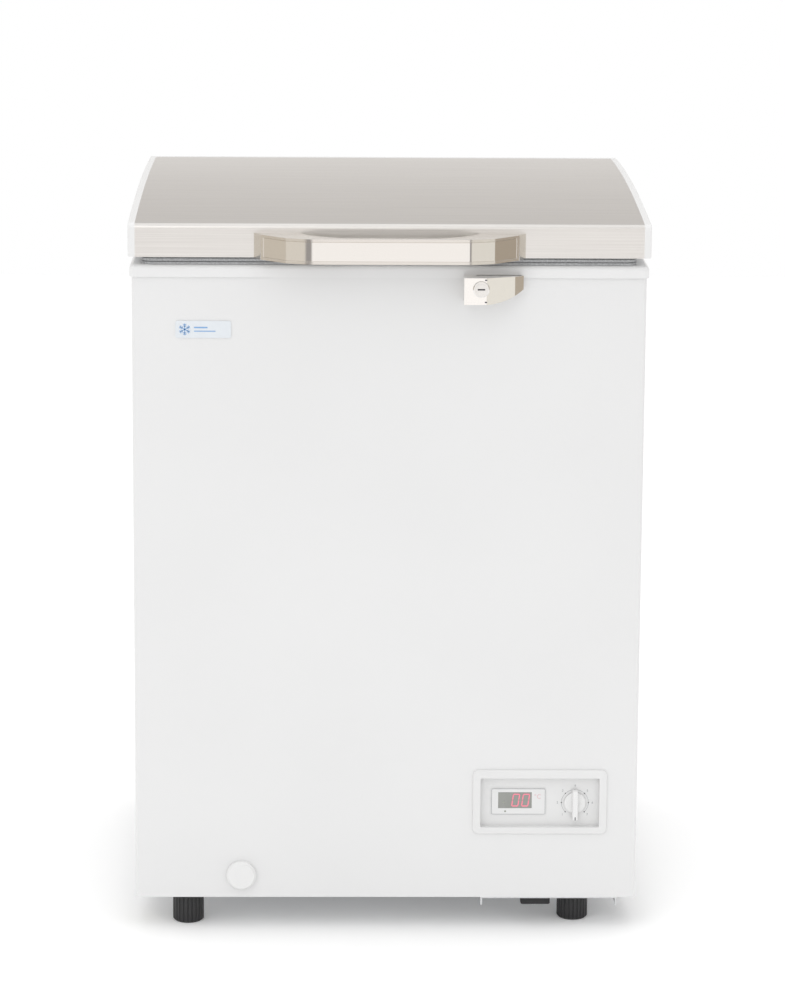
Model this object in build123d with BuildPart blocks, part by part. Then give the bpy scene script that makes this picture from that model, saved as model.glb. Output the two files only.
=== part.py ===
from build123d import *
import os
from math import cos, radians, sin, sqrt

# A small chest freezer with a steel-topped lid. Millimetres, +Z up, its front towards -Y and
# its origin on the floor, under the middle of the whole object.

# lid
lid_width = 592.0
lid_front = -242.0
lid_back = 261.0
lid_bottom = 797.0
lid_front_top = 835.0
lid_peak = 850.0
lid_peak_y = 105.0
lid_bend = 6.0
cap_width = 8.0
cap_edge = 1.2
skin = 0.8
hem_depth = 9.0
panel_sheet = 1.2
trim_depth = 12.0
trim_wall = 2.5
bulge_bottom = 789.0

# cabinet
cabinet_width = 585.0
cabinet_front = -232.5
cabinet_back = 267.5
cabinet_bottom = 37.0
wrap_top = 773.0
wrap_corner = 4.0
collar_width = 590.0
collar_front = -235.0
collar_top = 787.0
collar_edge = 6.0
collar_round = 5.0
ledge_height = 776.0
ledge_width = 12.0
pipe_gap = 5.0

# storage space, measured inside the liner
liner_sheet = 1.0
liner_half = 237.0
liner_front = -172.0
liner_back = 208.0
liner_floor = 100.0
liner_corner = 20.0
step_x = 50.0
step_floor = 300.0
coil_gap = 9.5

# machine chamber under the step
chamber_x = 96.0
chamber_top = 235.0
riser_sheet = 1.2

compressor_x, compressor_y = 194.0, 150.0
can_radius = 75.0
can_bottom, can_seam, can_top = 53.0, 130.0, 205.0
seam_edge = 3.0
foot_plate_z, foot_plate_sheet = 52.0, 3.0
grommet_x, grommet_y = 60.0, 72.0
grommet_radius, grommet_waist = 9.0, 5.0
grille_x, grille_z = 194.0, 136.0
grille_width, grille_height = 190.0, 192.0
gland_x, gland_z = 115.0, 62.0
gland_radius = 8.0
cap_gap = 0.1

# control panel
bezel_x, bezel_z = 179.0, 153.5
bezel_width, bezel_height = 157.0, 78.0
recess_width, recess_height = 139.0, 59.5
recess_y = -226.5
bezel_front = -235.0
bezel_wall = 2.0
thermo_x, thermo_z = 154.3, 152.2
thermo_width, thermo_height = 63.4, 31.6
window_x, window_z = 150.3, 153.8
window_width, window_height = 39.3, 19.5
dial_x, dial_z = 220.5, 150.5
shaft_radius = 3.0

# handle, as seen from above: half outline from its end to the flat front
handle_bottom, handle_top = 796.5, 825.0
handle_points = [(153.5, 0.0), (146.0, 13.0), (117.0, 39.5), (88.0, 48.0)]
handle_hole = [(101.0, 1.0), (88.0, 22.0), (55.0, 39.0)]
band_half = 138.0
band_margin = 3.0
handle_screw_x, handle_screw_z = 122.0, 811.0

# lock
lock_left, lock_right = 83.8, 151.6
lock_bend, lock_facet = 109.0, 141.6
lock_bottom, lock_top = 746.5, 777.0
lock_depth = 29.0
lock_wall = 1.6
lock_ring = 9.3
plug_radius = 6.5
plug_x, plug_z = 103.0, 764.3
hook_y = -240.6
hook_sheet = 2.0
hook_inner, hook_outer = 36.8, 41.0
slot_left, slot_right = 103.5, 131.0
striker_left, striker_right = 88.0, 138.0

# drain
drain_x, drain_y, drain_z = -169.3, -120.0, 64.3
drain_bore, drain_outer = 8.0, 10.0
drain_bend = 20.0

# hinges
hinge_places = (-170.0, 170.0)
axis_y, axis_z = 277.0, 795.0
hinge_half = 22.0
hinge_back = 290.0
hinge_sheet = 2.0
pin_radius = 3.0
leaf_half = 18.0
leaf_screw_heights = (812.0, 827.0)
leaf_screw_x = 10.0
leaf_screw_radius = 1.8
base_screw_heights = (680.0, 752.0)
base_screw_x = 28.0
base_screw_radius = 2.1
screw_gap = 0.1

# feet: x, y, height of what each stands under
foot_left = (-232.5, -202.5, 37.0)
foot_right = (221.5, -192.0, 35.0)
foot_radius = 18.2
stud_radius = 4.0
running_gap = 0.05
knurls = 24

# basket, hanging on the ledges over the step
basket_x = 125.0
basket_half = 100.0
basket_wire = 2.5
basket_wall = 3.0
basket_bottom = 601.0
basket_corner = 18.0

wrap_half = cabinet_width / 2
wrap_inner = wrap_half - skin
foam_half = wrap_inner - pipe_gap
foam_front = cabinet_front + skin + pipe_gap
foam_back = cabinet_back - skin
skin_half = lid_width / 2 - cap_width
trim_front = lid_back - trim_depth
recess_z = bezel_z - 0.9
striker_y = lid_front + hem_depth
mount_spots = [
    (compressor_x + sx * grommet_x, compressor_y + sy * grommet_y) for sx in (-1, 1) for sy in (-1, 1)
]
crown_radius = ((lid_peak_y - lid_front) ** 2 + (lid_peak - lid_front_top) ** 2) / (
    2 * (lid_peak - lid_front_top)
)

upright = (Align.CENTER, Align.CENTER, Align.MIN)

os.makedirs("parts", exist_ok=True)


def front_plane(y):
    """A plane that faces the front: its x and y are X and Z, and extruding goes towards -Y."""
    return Plane.XZ.offset(-y)


def crown(y, inset=0.0):
    """Height of the lid's crown over a given Y."""
    radius = crown_radius - inset
    return lid_peak - crown_radius + sqrt(radius**2 - (y - lid_peak_y) ** 2)


def lid_profile(x, inset, back, bottom):
    """The lid's side view at one X, drawn inside its surface by inset."""
    front = lid_front + inset
    top_front, top_back = (front, crown(front, inset)), (back, crown(back, inset))
    with BuildSketch(Plane.YZ.offset(x)) as profile:
        with BuildLine():
            Polyline(top_front, (front, bottom), (back, bottom), top_back)
            ThreePointArc(top_front, (lid_peak_y, lid_peak - inset), top_back)
        make_face()
        fillet(profile.vertices().sort_by(Axis.X)[:2].sort_by(Axis.Y)[-1], lid_bend - inset)
    return profile.sketch


def flat_rect(z, x0, x1, y0, y1, corner=0.0):
    """A level rectangle between two corners, with rounded corners if asked for."""
    with BuildSketch(Plane.XY.offset(z)) as rect:
        with Locations(((x0 + x1) / 2, (y0 + y1) / 2)):
            if corner:
                RectangleRounded(x1 - x0, y1 - y0, corner)
            else:
                Rectangle(x1 - x0, y1 - y0)
    return rect.sketch


def front_rect(y, x, z, width, height, corner=0.0):
    """An upright rectangle that faces the front, centred on x and z."""
    with BuildSketch(front_plane(y)) as rect:
        with Locations((x, z)):
            if corner:
                RectangleRounded(width, height, corner)
            else:
                Rectangle(width, height)
    return rect.sketch


def front_circle(y, x, z, radius):
    """A circle that faces the front."""
    with BuildSketch(front_plane(y)) as circle:
        with Locations((x, z)):
            Circle(radius)
    return circle.sketch


def make_outer_wrap():
    """Steel sheet round the front and the sides, with flanges turned in at the back and below."""
    height = wrap_top - cabinet_bottom
    with BuildPart() as outer_wrap:
        extrude(
            flat_rect(cabinet_bottom, -wrap_half, wrap_half, cabinet_front, cabinet_back, wrap_corner),
            amount=height,
        )
        extrude(
            flat_rect(
                cabinet_bottom,
                -wrap_inner,
                wrap_inner,
                cabinet_front + skin,
                cabinet_back + 5,
                wrap_corner - skin,
            ),
            amount=height,
            mode=Mode.SUBTRACT,
        )
        for side in (-1, 1):
            x0, x1 = sorted((side * wrap_inner, side * (wrap_inner - 14)))
            extrude(flat_rect(cabinet_bottom, x0, x1, cabinet_front + 60, foam_back), amount=skin)
        extrude(
            front_rect(cabinet_front + 5, bezel_x, recess_z, recess_width + 5, recess_height + 5),
            amount=10,
            mode=Mode.SUBTRACT,
        )
        extrude(
            front_circle(cabinet_front + 5, drain_x, drain_z, drain_outer + 0.2),
            amount=10,
            mode=Mode.SUBTRACT,
        )
    outer_wrap.part.label = "outer_wrap"
    export_step(outer_wrap.part, "parts/outer_wrap.step")


def hinge_screw_spots():
    """X and Z of the screws that hold the hinge bases."""
    sides = (-base_screw_x, base_screw_x)
    return [(x + dx, z) for x in hinge_places for dx in sides for z in base_screw_heights]


def make_back_panel():
    """Steel sheet over the back, open behind the machine chamber."""
    width = 2 * wrap_inner
    middle = (wrap_top + cabinet_bottom) / 2
    with BuildPart() as back_panel:
        extrude(front_rect(cabinet_back, 0, middle, width, wrap_top - cabinet_bottom), amount=skin)
        extrude(
            front_rect(cabinet_back + 5, grille_x, grille_z, grille_width - 10, grille_height - 12),
            amount=10,
            mode=Mode.SUBTRACT,
        )
        for x, z in hinge_screw_spots():
            extrude(
                front_circle(cabinet_back + 5, x, z, base_screw_radius + screw_gap),
                amount=10,
                mode=Mode.SUBTRACT,
            )
    back_panel.part.label = "back_panel"
    export_step(back_panel.part, "parts/back_panel.step")


def make_bottom_panel():
    """Sheet under the foam that steps up over the machine chamber, with a lip for the base plate."""
    floor = cabinet_bottom
    with BuildPart() as bottom_panel:
        with BuildSketch(front_plane(foam_back)):
            with BuildLine():
                Polyline(
                    (14 - wrap_inner, floor),
                    (chamber_x + 29, floor),
                    (chamber_x + 29, floor + skin),
                    (chamber_x, floor + skin),
                    (chamber_x, chamber_top),
                    (foam_half - 0.2, chamber_top),
                    (foam_half - 0.2, chamber_top + riser_sheet),
                    (chamber_x - riser_sheet, chamber_top + riser_sheet),
                    (chamber_x - riser_sheet, floor + skin),
                    (14 - wrap_inner, floor + skin),
                    close=True,
                )
            make_face()
        extrude(amount=foam_back - foam_front)
        with BuildSketch(Plane.YZ.offset(chamber_x - 5)):
            with Locations((100.0, 140.0)):
                Circle(3.8)
        extrude(amount=10, mode=Mode.SUBTRACT)
        for x, y, under in (foot_left, foot_right):
            with BuildSketch(Plane.XY.offset(floor - 5)):
                with Locations((x, y)):
                    Circle(7.1)
            extrude(amount=10, mode=Mode.SUBTRACT)
    bottom_panel.part.label = "bottom_panel"
    export_step(bottom_panel.part, "parts/bottom_panel.step")


def tub(grow, corner):
    """The storage space as a solid, grown by grow: the full-width upper part and the deep well."""
    top = wrap_top + 20
    with BuildPart() as space:
        extrude(
            flat_rect(
                step_floor - min(grow, liner_sheet),
                -liner_half - grow,
                liner_half + grow,
                liner_front - grow,
                liner_back + grow,
                corner + grow,
            ),
            amount=top - step_floor,
        )
        extrude(
            flat_rect(
                liner_floor - min(grow, liner_sheet),
                -liner_half - grow,
                step_x + grow,
                liner_front - grow,
                liner_back + grow,
                corner + grow,
            ),
            amount=step_floor - liner_floor + 60,
        )
    return space.part


def drain_path():
    """Centre line of the drain tube: down from the floor, then forward to the front."""
    with BuildLine(Plane.YZ.offset(drain_x)) as path:
        Line((drain_y, liner_floor - liner_sheet), (drain_y, drain_z + drain_bend))
        RadiusArc((drain_y, drain_z + drain_bend), (drain_y - drain_bend, drain_z), drain_bend)
        Line((drain_y - drain_bend, drain_z), (cabinet_front, drain_z))
    return path.line


def drain_rod(radius):
    """A rod that follows the drain tube."""
    with BuildPart() as rod:
        with BuildSketch(Plane.XY.offset(liner_floor - liner_sheet)):
            with Locations((drain_x, drain_y)):
                Circle(radius)
        sweep(path=drain_path())
    return rod.part


def make_foam():
    """Moulded foam between the skins, short of them by the depth of the pipes."""
    top = wrap_top - liner_sheet
    base = cabinet_bottom + skin
    with BuildPart() as foam_insulation:
        extrude(flat_rect(base, -foam_half, foam_half, foam_front, foam_back, 18), amount=top - base)
        extrude(
            flat_rect(base, -foam_half, foam_half, foam_back - 20, foam_back), amount=top - base
        )
        extrude(
            flat_rect(base - 5, chamber_x - riser_sheet, foam_half + 5, foam_front - 5, foam_back + 5),
            amount=chamber_top + riser_sheet - base + 5,
            mode=Mode.SUBTRACT,
        )
        add(tub(coil_gap, liner_corner + liner_sheet), mode=Mode.SUBTRACT)
        add(drain_rod(drain_outer), mode=Mode.SUBTRACT)
        with BuildSketch(Plane.YZ.offset(step_x)):
            with Locations((100.0, 140.0)):
                Circle(9.0)
        extrude(amount=chamber_x - step_x, mode=Mode.SUBTRACT)
        with BuildSketch(Plane.XY.offset(base - 1)):
            with Locations((foot_left[0], foot_left[1])):
                Circle(7.0)
        extrude(amount=26, mode=Mode.SUBTRACT)
        for x, z in hinge_screw_spots():
            extrude(front_circle(cabinet_back, x, z, 2.1), amount=13, mode=Mode.SUBTRACT)
    foam_insulation.part.label = "foam_insulation"
    export_step(foam_insulation.part, "parts/foam_insulation.step")


def make_inner_liner():
    """Sheet tub with a step over the machine chamber and a flange under the collar."""
    flange = 25.0
    with BuildPart() as inner_liner:
        add(tub(liner_sheet, liner_corner))
        add(tub(0.0, liner_corner), mode=Mode.SUBTRACT)
        extrude(flat_rect(wrap_top, -300, 300, -300, 300), amount=60, mode=Mode.SUBTRACT)
        with BuildSketch(Plane.XY.offset(wrap_top - liner_sheet)):
            with Locations((0, (liner_front + liner_back) / 2)):
                RectangleRounded(
                    2 * (liner_half + flange), liner_back - liner_front + 2 * flange, liner_corner + flange
                )
                RectangleRounded(2 * liner_half, liner_back - liner_front, liner_corner, mode=Mode.SUBTRACT)
        extrude(amount=liner_sheet)
        with BuildSketch(Plane.XY.offset(liner_floor - 5)):
            with Locations((drain_x, drain_y)):
                Circle(drain_bore + 0.1)
        extrude(amount=10, mode=Mode.SUBTRACT)
    inner_liner.part.label = "inner_liner"
    export_step(inner_liner.part, "parts/inner_liner.step")


def make_top_collar():
    """Plastic frame on top of the cabinet, with a ledge inside and a lip over the liner's edge."""
    wall = 3.0
    lip = 2.0
    half = collar_width / 2
    with BuildPart() as top_collar:
        extrude(
            flat_rect(wrap_top, -half, half, collar_front, cabinet_back, collar_edge),
            amount=collar_top - wrap_top,
        )
        fillet(top_collar.faces().sort_by(Axis.Z)[-1].edges(), collar_round)
        extrude(
            flat_rect(
                ledge_height,
                -liner_half - ledge_width,
                liner_half + ledge_width,
                liner_front - ledge_width,
                liner_back + ledge_width,
                liner_corner + ledge_width,
            ),
            amount=20,
            mode=Mode.SUBTRACT,
        )
        extrude(
            flat_rect(wrap_top - 5, -liner_half, liner_half, liner_front, liner_back, liner_corner),
            amount=20,
            mode=Mode.SUBTRACT,
        )
        with BuildSketch(Plane.XY.offset(wrap_top - 11)):
            with Locations((0, (liner_front + liner_back) / 2)):
                RectangleRounded(2 * liner_half, liner_back - liner_front, liner_corner)
                RectangleRounded(
                    2 * (liner_half - lip),
                    liner_back - liner_front - 2 * lip,
                    liner_corner - lip,
                    mode=Mode.SUBTRACT,
                )
        extrude(amount=11 + ledge_height - wrap_top)
        with BuildSketch(Plane.XY.offset(wrap_top)):
            with Locations((0, (collar_front + cabinet_back) / 2)):
                RectangleRounded(
                    collar_width - 2 * (wall + 3), cabinet_back - collar_front - 2 * (wall + 3), wrap_corner
                )
            with Locations((0, (liner_front + liner_back) / 2)):
                RectangleRounded(
                    2 * (liner_half + ledge_width + wall),
                    liner_back - liner_front + 2 * (ledge_width + wall),
                    liner_corner + ledge_width + wall,
                    mode=Mode.SUBTRACT,
                )
        extrude(amount=collar_top - wrap_top - wall, mode=Mode.SUBTRACT)
    top_collar.part.label = "top_collar"
    export_step(top_collar.part, "parts/top_collar.step")


def pipe(points, radii, radius):
    """A round tube along straight runs joined by arcs."""
    first, second = Vector(*points[0]), Vector(*points[1])
    with BuildPart() as tube:
        with BuildLine() as route:
            FilletPolyline(*points, radius=radii)
        with BuildSketch(Plane(origin=first, z_dir=second - first)):
            Circle(radius)
        sweep(path=route.line)
    return tube


def make_evaporator_coil():
    """Tube from the drier through the chamber's wall and round the outside of the liner."""
    tube_radius = 3.5
    off = liner_sheet + tube_radius + 0.3
    left, right = -liner_half - off, liner_half + off
    front, back = liner_front - off, liner_back + off
    well_right = step_x + off
    points = [(115.0, 60.0, 110.0), (115.0, 60.0, 80.0), (115.0, 100.0, 80.0), (115.0, 100.0, 140.0)]
    points.append((well_right, 100.0, 140.0))
    radii = [10.0, 10.0, 10.0, 14.0]
    height = 150.0
    for turn in range(2):
        for x, y in ((well_right, front), (left, front), (left, back), (well_right, back)):
            points.append((x, y, height))
            height += 18.0
    points.pop()
    height = 340.0
    for turn in range(4):
        for x, y in ((right, back), (right, front), (left, front), (left, back)):
            points.append((x, y, height))
            height += 24.0
    points[-1] = (left, back - 60, height - 24.0)
    radii += [liner_corner + off] * (len(points) - 2 - len(radii))
    evaporator_coil = pipe(points, radii, tube_radius)
    evaporator_coil.part.label = "evaporator_coil"
    export_step(evaporator_coil.part, "parts/evaporator_coil.step")


def make_condenser_coil():
    """Tube from the compressor, up and down behind the wrap, and back down to the drier."""
    tube_radius = 2.4
    bend = 20.0
    side = wrap_inner - tube_radius - 0.1
    front = cabinet_front + skin + tube_radius + 0.1
    turn_y = 235.0
    down_y = 252.0
    points = [(235.0, 80.0, 120.0), (235.0, 40.0, 120.0), (side, 40.0, 120.0), (side, turn_y, 120.0)]
    radii = [14.0, 14.0]
    for row in range(6):
        height = 290.0 + 85.0 * row
        ends = (side, -side) if row % 2 == 0 else (-side, side)
        points.append((ends[0], turn_y, height))
        points.append((ends[0], front, height))
        points.append((ends[1], front, height))
        points.append((ends[1], turn_y, height))
    points[-1] = (side, down_y, points[-1][2])
    points += [(side, down_y, 200.0), (115.0, down_y, 200.0), (115.0, 60.0, 200.0), (115.0, 60.0, 180.0)]
    radii += [bend] * (len(points) - 3 - len(radii)) + [10.0]
    condenser_coil = pipe(points, radii, tube_radius)
    condenser_coil.part.label = "condenser_coil"
    export_step(condenser_coil.part, "parts/condenser_coil.step")

def make_compressor():
    """Welded steel can on a foot plate."""
    with BuildPart() as compressor:
        with Locations((compressor_x, compressor_y, can_bottom)):
            Cylinder(can_radius, can_seam - can_bottom, align=upright)
        fillet(compressor.faces().sort_by(Axis.Z)[0].edges(), 18)
        with Locations((compressor_x, compressor_y, can_seam)):
            Cylinder(can_radius - 2, can_top - can_seam, align=upright)
        fillet(compressor.faces().sort_by(Axis.Z)[-1].edges(), 40)
        with Locations((compressor_x, compressor_y, can_seam - 2)):
            Cylinder(can_radius + seam_edge, 4, align=upright)
        with BuildSketch(Plane.XY.offset(foot_plate_z)):
            with Locations((compressor_x, compressor_y)):
                RectangleRounded(2 * (grommet_x + 12), 2 * (grommet_y + 12), 12)
            with Locations(*mount_spots):
                Circle(grommet_waist + cap_gap, mode=Mode.SUBTRACT)
        extrude(amount=foot_plate_sheet)
    compressor.part.label = "compressor"
    export_step(compressor.part, "parts/compressor.step")


def make_compressor_mounts():
    """Rubber grommets with waists that hold the foot plate."""
    with BuildPart() as compressor_mounts:
        for x, y in mount_spots:
            with Locations((x, y, cabinet_bottom)):
                Cylinder(grommet_radius, foot_plate_z - cabinet_bottom, align=upright)
            with Locations((x, y, foot_plate_z)):
                Cylinder(grommet_waist, foot_plate_sheet, align=upright)
            with Locations((x, y, foot_plate_z + foot_plate_sheet)):
                Cylinder(grommet_radius - 1, 4, align=upright)
    compressor_mounts.part.label = "compressor_mounts"
    export_step(compressor_mounts.part, "parts/compressor_mounts.step")


def make_start_relay():
    """Relay box that hugs the front of the can."""
    with BuildPart() as start_relay:
        with Locations((compressor_x - 25, compressor_y - 79, 95)):
            Box(40, 38, 30, align=upright)
        with Locations((compressor_x, compressor_y, 90)):
            Cylinder(can_radius + 0.3, 50, align=upright, mode=Mode.SUBTRACT)
    start_relay.part.label = "start_relay"
    export_step(start_relay.part, "parts/start_relay.step")


def make_filter_drier():
    """Drier cartridge that stands in the corner of the chamber."""
    with BuildPart() as filter_drier:
        with BuildSketch(Plane.XZ.offset(-60)):
            with BuildLine():
                Polyline((115, 110), (119, 110), (124, 122), (124, 168), (119, 180), (115, 180), close=True)
            make_face()
        revolve(axis=Axis((115, 60, 0), (0, 0, 1)), revolution_arc=360)
    filter_drier.part.label = "filter_drier"
    export_step(filter_drier.part, "parts/filter_drier.step")


def make_suction_pipe():
    """Pipe from the top of the can to the wall of the chamber."""
    x, bend_z = 170.0, 220.0
    points = [(x, compressor_y, can_top), (x, compressor_y, bend_z), (chamber_x, compressor_y, bend_z)]
    suction_pipe = pipe(points, [10.0], 4.0)
    suction_pipe.part.label = "suction_pipe"
    export_step(suction_pipe.part, "parts/suction_pipe.step")


def make_base_plate():
    """Plate that carries the compressor, with its long edges turned down."""
    left, right = 111.0, 271.0
    front, back = cabinet_front + 1.5, 262.0
    bottom = cabinet_bottom - 2.0
    with BuildPart() as base_plate:
        extrude(flat_rect(bottom, left, right, front, back), amount=2)
        for x in (left, right - 2):
            extrude(flat_rect(bottom - 8, x, x + 2, front, back), amount=8)
        with BuildSketch(Plane.XY.offset(bottom - 1)):
            with Locations((foot_right[0], foot_right[1])):
                Circle(7.1)
        extrude(amount=5, mode=Mode.SUBTRACT)
    base_plate.part.label = "base_plate"
    export_step(base_plate.part, "parts/base_plate.step")


def make_rubber_block():
    """Small rubber buffer under the front of the base plate."""
    with BuildPart() as rubber_block:
        extrude(flat_rect(24.7, 158.6, 193.0, -224, -196), amount=cabinet_bottom - 2 - 24.7)
        chamfer(rubber_block.faces().sort_by(Axis.Z)[0].edges(), 1.5)
    rubber_block.part.label = "rubber_block"
    export_step(rubber_block.part, "parts/rubber_block.step")

def make_rear_grille():
    """Slotted cover behind the machine chamber."""
    with BuildPart() as rear_grille:
        extrude(
            front_rect(cabinet_back + 2, grille_x, grille_z, grille_width, grille_height, 4), amount=2
        )
        with BuildSketch(front_plane(cabinet_back + 5)):
            with Locations((grille_x, grille_z + 12)):
                with GridLocations(84, 16, 2, 9):
                    SlotOverall(72, 6)
        extrude(amount=10, mode=Mode.SUBTRACT)
        extrude(
            front_circle(cabinet_back + 5, gland_x, gland_z, gland_radius + cap_gap),
            amount=10,
            mode=Mode.SUBTRACT,
        )
    rear_grille.part.label = "rear_grille"
    export_step(rear_grille.part, "parts/rear_grille.step")


def make_cable_gland():
    """Gland of the supply cord, set in the rear cover."""
    with BuildPart() as cable_gland:
        extrude(front_circle(cabinet_back + 2, gland_x, gland_z, gland_radius), amount=6)
        extrude(front_circle(cabinet_back + 5, gland_x, gland_z, gland_radius + 3), amount=3)
        extrude(front_circle(cabinet_back + 11, gland_x, gland_z, gland_radius - 1.5), amount=6)
        extrude(
            front_circle(cabinet_back + 12, gland_x, gland_z, gland_radius / 2),
            amount=20,
            mode=Mode.SUBTRACT,
        )
    cable_gland.part.label = "cable_gland"
    export_step(cable_gland.part, "parts/cable_gland.step")


def make_control_bezel():
    """Frame of the control panel, with walls that run back to the recessed plate."""
    depth = recess_y + 2 - cabinet_front
    with BuildPart() as control_bezel:
        extrude(
            front_rect(cabinet_front, bezel_x, bezel_z, bezel_width, bezel_height, 7),
            amount=cabinet_front - bezel_front,
        )
        fillet(control_bezel.faces().sort_by(Axis.Y)[0].edges(), 1.6)
        extrude(
            front_rect(
                recess_y + 2,
                bezel_x,
                recess_z,
                recess_width + 2 * bezel_wall,
                recess_height + 2 * bezel_wall,
                3,
            ),
            amount=depth,
        )
        extrude(
            front_rect(recess_y + 3, bezel_x, recess_z, recess_width, recess_height, 1.5),
            amount=20,
            mode=Mode.SUBTRACT,
        )
    control_bezel.part.label = "control_bezel"
    export_step(control_bezel.part, "parts/control_bezel.step")


def make_control_plate():
    """Recessed plate with openings for the thermometer and the thermostat's shaft."""
    with BuildPart() as control_plate:
        extrude(front_rect(recess_y + 2, bezel_x, recess_z, recess_width, recess_height, 1.5), amount=2)
        extrude(
            front_rect(recess_y + 5, thermo_x, thermo_z, thermo_width - 4, thermo_height - 4),
            amount=10,
            mode=Mode.SUBTRACT,
        )
        extrude(
            front_circle(recess_y + 5, dial_x, dial_z, shaft_radius + running_gap),
            amount=10,
            mode=Mode.SUBTRACT,
        )
    control_plate.part.label = "control_plate"
    export_step(control_plate.part, "parts/control_plate.step")


def make_thermometer():
    """Case of the digital thermometer and its dark window."""
    front = recess_y - 1.5
    with BuildPart() as thermometer_case:
        extrude(front_rect(recess_y, thermo_x, thermo_z, thermo_width, thermo_height, 1.5), amount=1.5)
        extrude(
            front_rect(recess_y + 18, thermo_x, thermo_z, thermo_width - 4, thermo_height - 4), amount=18
        )
        extrude(
            front_rect(front + 1, window_x, window_z, window_width, window_height),
            amount=2,
            mode=Mode.SUBTRACT,
        )
    thermometer_case.part.label = "thermometer_case"
    export_step(thermometer_case.part, "parts/thermometer_case.step")
    with BuildPart() as thermometer_window:
        extrude(front_rect(front + 1, window_x, window_z, window_width, window_height), amount=0.7)
    thermometer_window.part.label = "thermometer_window"
    export_step(thermometer_window.part, "parts/thermometer_window.step")


def make_thermostat():
    """Thermostat behind the plate, its shaft, and the knob with its grip bar and pointer end."""
    with BuildPart() as thermostat_body:
        extrude(front_rect(recess_y + 28, dial_x, dial_z, 40, 34, 3), amount=26)
        extrude(
            front_circle(recess_y + 40, dial_x, dial_z, shaft_radius + running_gap),
            amount=60,
            mode=Mode.SUBTRACT,
        )
    thermostat_body.part.label = "thermostat_body"
    export_step(thermostat_body.part, "parts/thermostat_body.step")
    with BuildPart() as thermostat_shaft:
        extrude(front_circle(recess_y + 26, dial_x, dial_z, shaft_radius), amount=31)
    thermostat_shaft.part.label = "thermostat_shaft"
    export_step(thermostat_shaft.part, "parts/thermostat_shaft.step")
    with BuildPart() as thermostat_knob:
        extrude(front_circle(recess_y - 0.8, dial_x, dial_z, 13.0), amount=3.2)
        with BuildSketch(front_plane(recess_y - 4.0)):
            with Locations((dial_x, dial_z - 1.7)):
                SlotOverall(37.5, 7.6, rotation=90)
        extrude(amount=5.0, taper=4)
        extrude(front_circle(recess_y, dial_x, dial_z, shaft_radius), amount=5, mode=Mode.SUBTRACT)
    thermostat_knob.part.label = "thermostat_knob"
    export_step(thermostat_knob.part, "parts/thermostat_knob.step")


def make_drain():
    """Drain tube, the cap on the front and the stopper in the liner's floor."""
    with BuildPart() as drain_tube:
        add(drain_rod(drain_outer))
        add(drain_rod(drain_bore), mode=Mode.SUBTRACT)
    drain_tube.part.label = "drain_tube"
    export_step(drain_tube.part, "parts/drain_tube.step")
    with BuildPart() as drain_cap:
        extrude(front_circle(cabinet_front, drain_x, drain_z, 17.2), amount=7.0)
        chamfer(drain_cap.faces().sort_by(Axis.Y)[0].edges(), 2.4)
        extrude(front_circle(cabinet_front + 18, drain_x, drain_z, drain_bore - 0.1), amount=18)
    drain_cap.part.label = "drain_cap"
    export_step(drain_cap.part, "parts/drain_cap.step")
    with BuildPart() as drain_plug:
        with Locations((drain_x, drain_y, liner_floor)):
            Cylinder(13.0, 4.0, align=upright)
            Cylinder(drain_bore - 0.1, 14.0, align=(Align.CENTER, Align.CENTER, Align.MAX))
        with Locations((drain_x, drain_y, liner_floor + 4)):
            Box(16, 3, 7, align=upright)
    drain_plug.part.label = "drain_plug"
    export_step(drain_plug.part, "parts/drain_plug.step")


def make_badge_plate():
    """Small plate high on the left."""
    with BuildPart() as badge_plate:
        extrude(front_rect(cabinet_front, -211.3, 712.6, 63.0, 19.5, 2), amount=1.2)
    badge_plate.part.label = "badge_plate"
    export_step(badge_plate.part, "parts/badge_plate.step")


def lock_plan(inset, back):
    """Outline of the lock's housing from above: thick at the left, tapering to the right."""
    left, right = lock_left + inset, lock_right - inset
    front = cabinet_front - lock_depth + inset
    with BuildSketch(Plane.XY.offset(lock_bottom - 10)) as plan:
        with BuildLine():
            Polyline(
                (lock_bend, front),
                (left, front),
                (left, back),
                (right, back),
                (right, front + 18.5),
                (lock_facet, front + 12.0),
                close=True,
            )
        make_face()
    return plan.sketch


def lock_face(inset):
    """Outline of the lock's housing from the front: its lower right corner is swept up."""
    left, right = lock_left + inset, lock_right - inset
    low, high = lock_bottom + inset, lock_top - inset
    with BuildSketch(front_plane(-200)) as face:
        with BuildLine():
            Polyline((108, low), (left, low), (left, high), (right, high), (right, low + 15))
            ThreePointArc((108, low), (133, low + 4.6), (right, low + 15))
        make_face()
    return face.sketch


def lock_block(inset, back):
    """Solid with both outlines of the lock's housing."""
    with BuildPart() as block:
        extrude(lock_plan(inset, back), amount=60)
        extrude(lock_face(inset), amount=100, mode=Mode.INTERSECT)
    return block.part


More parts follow.
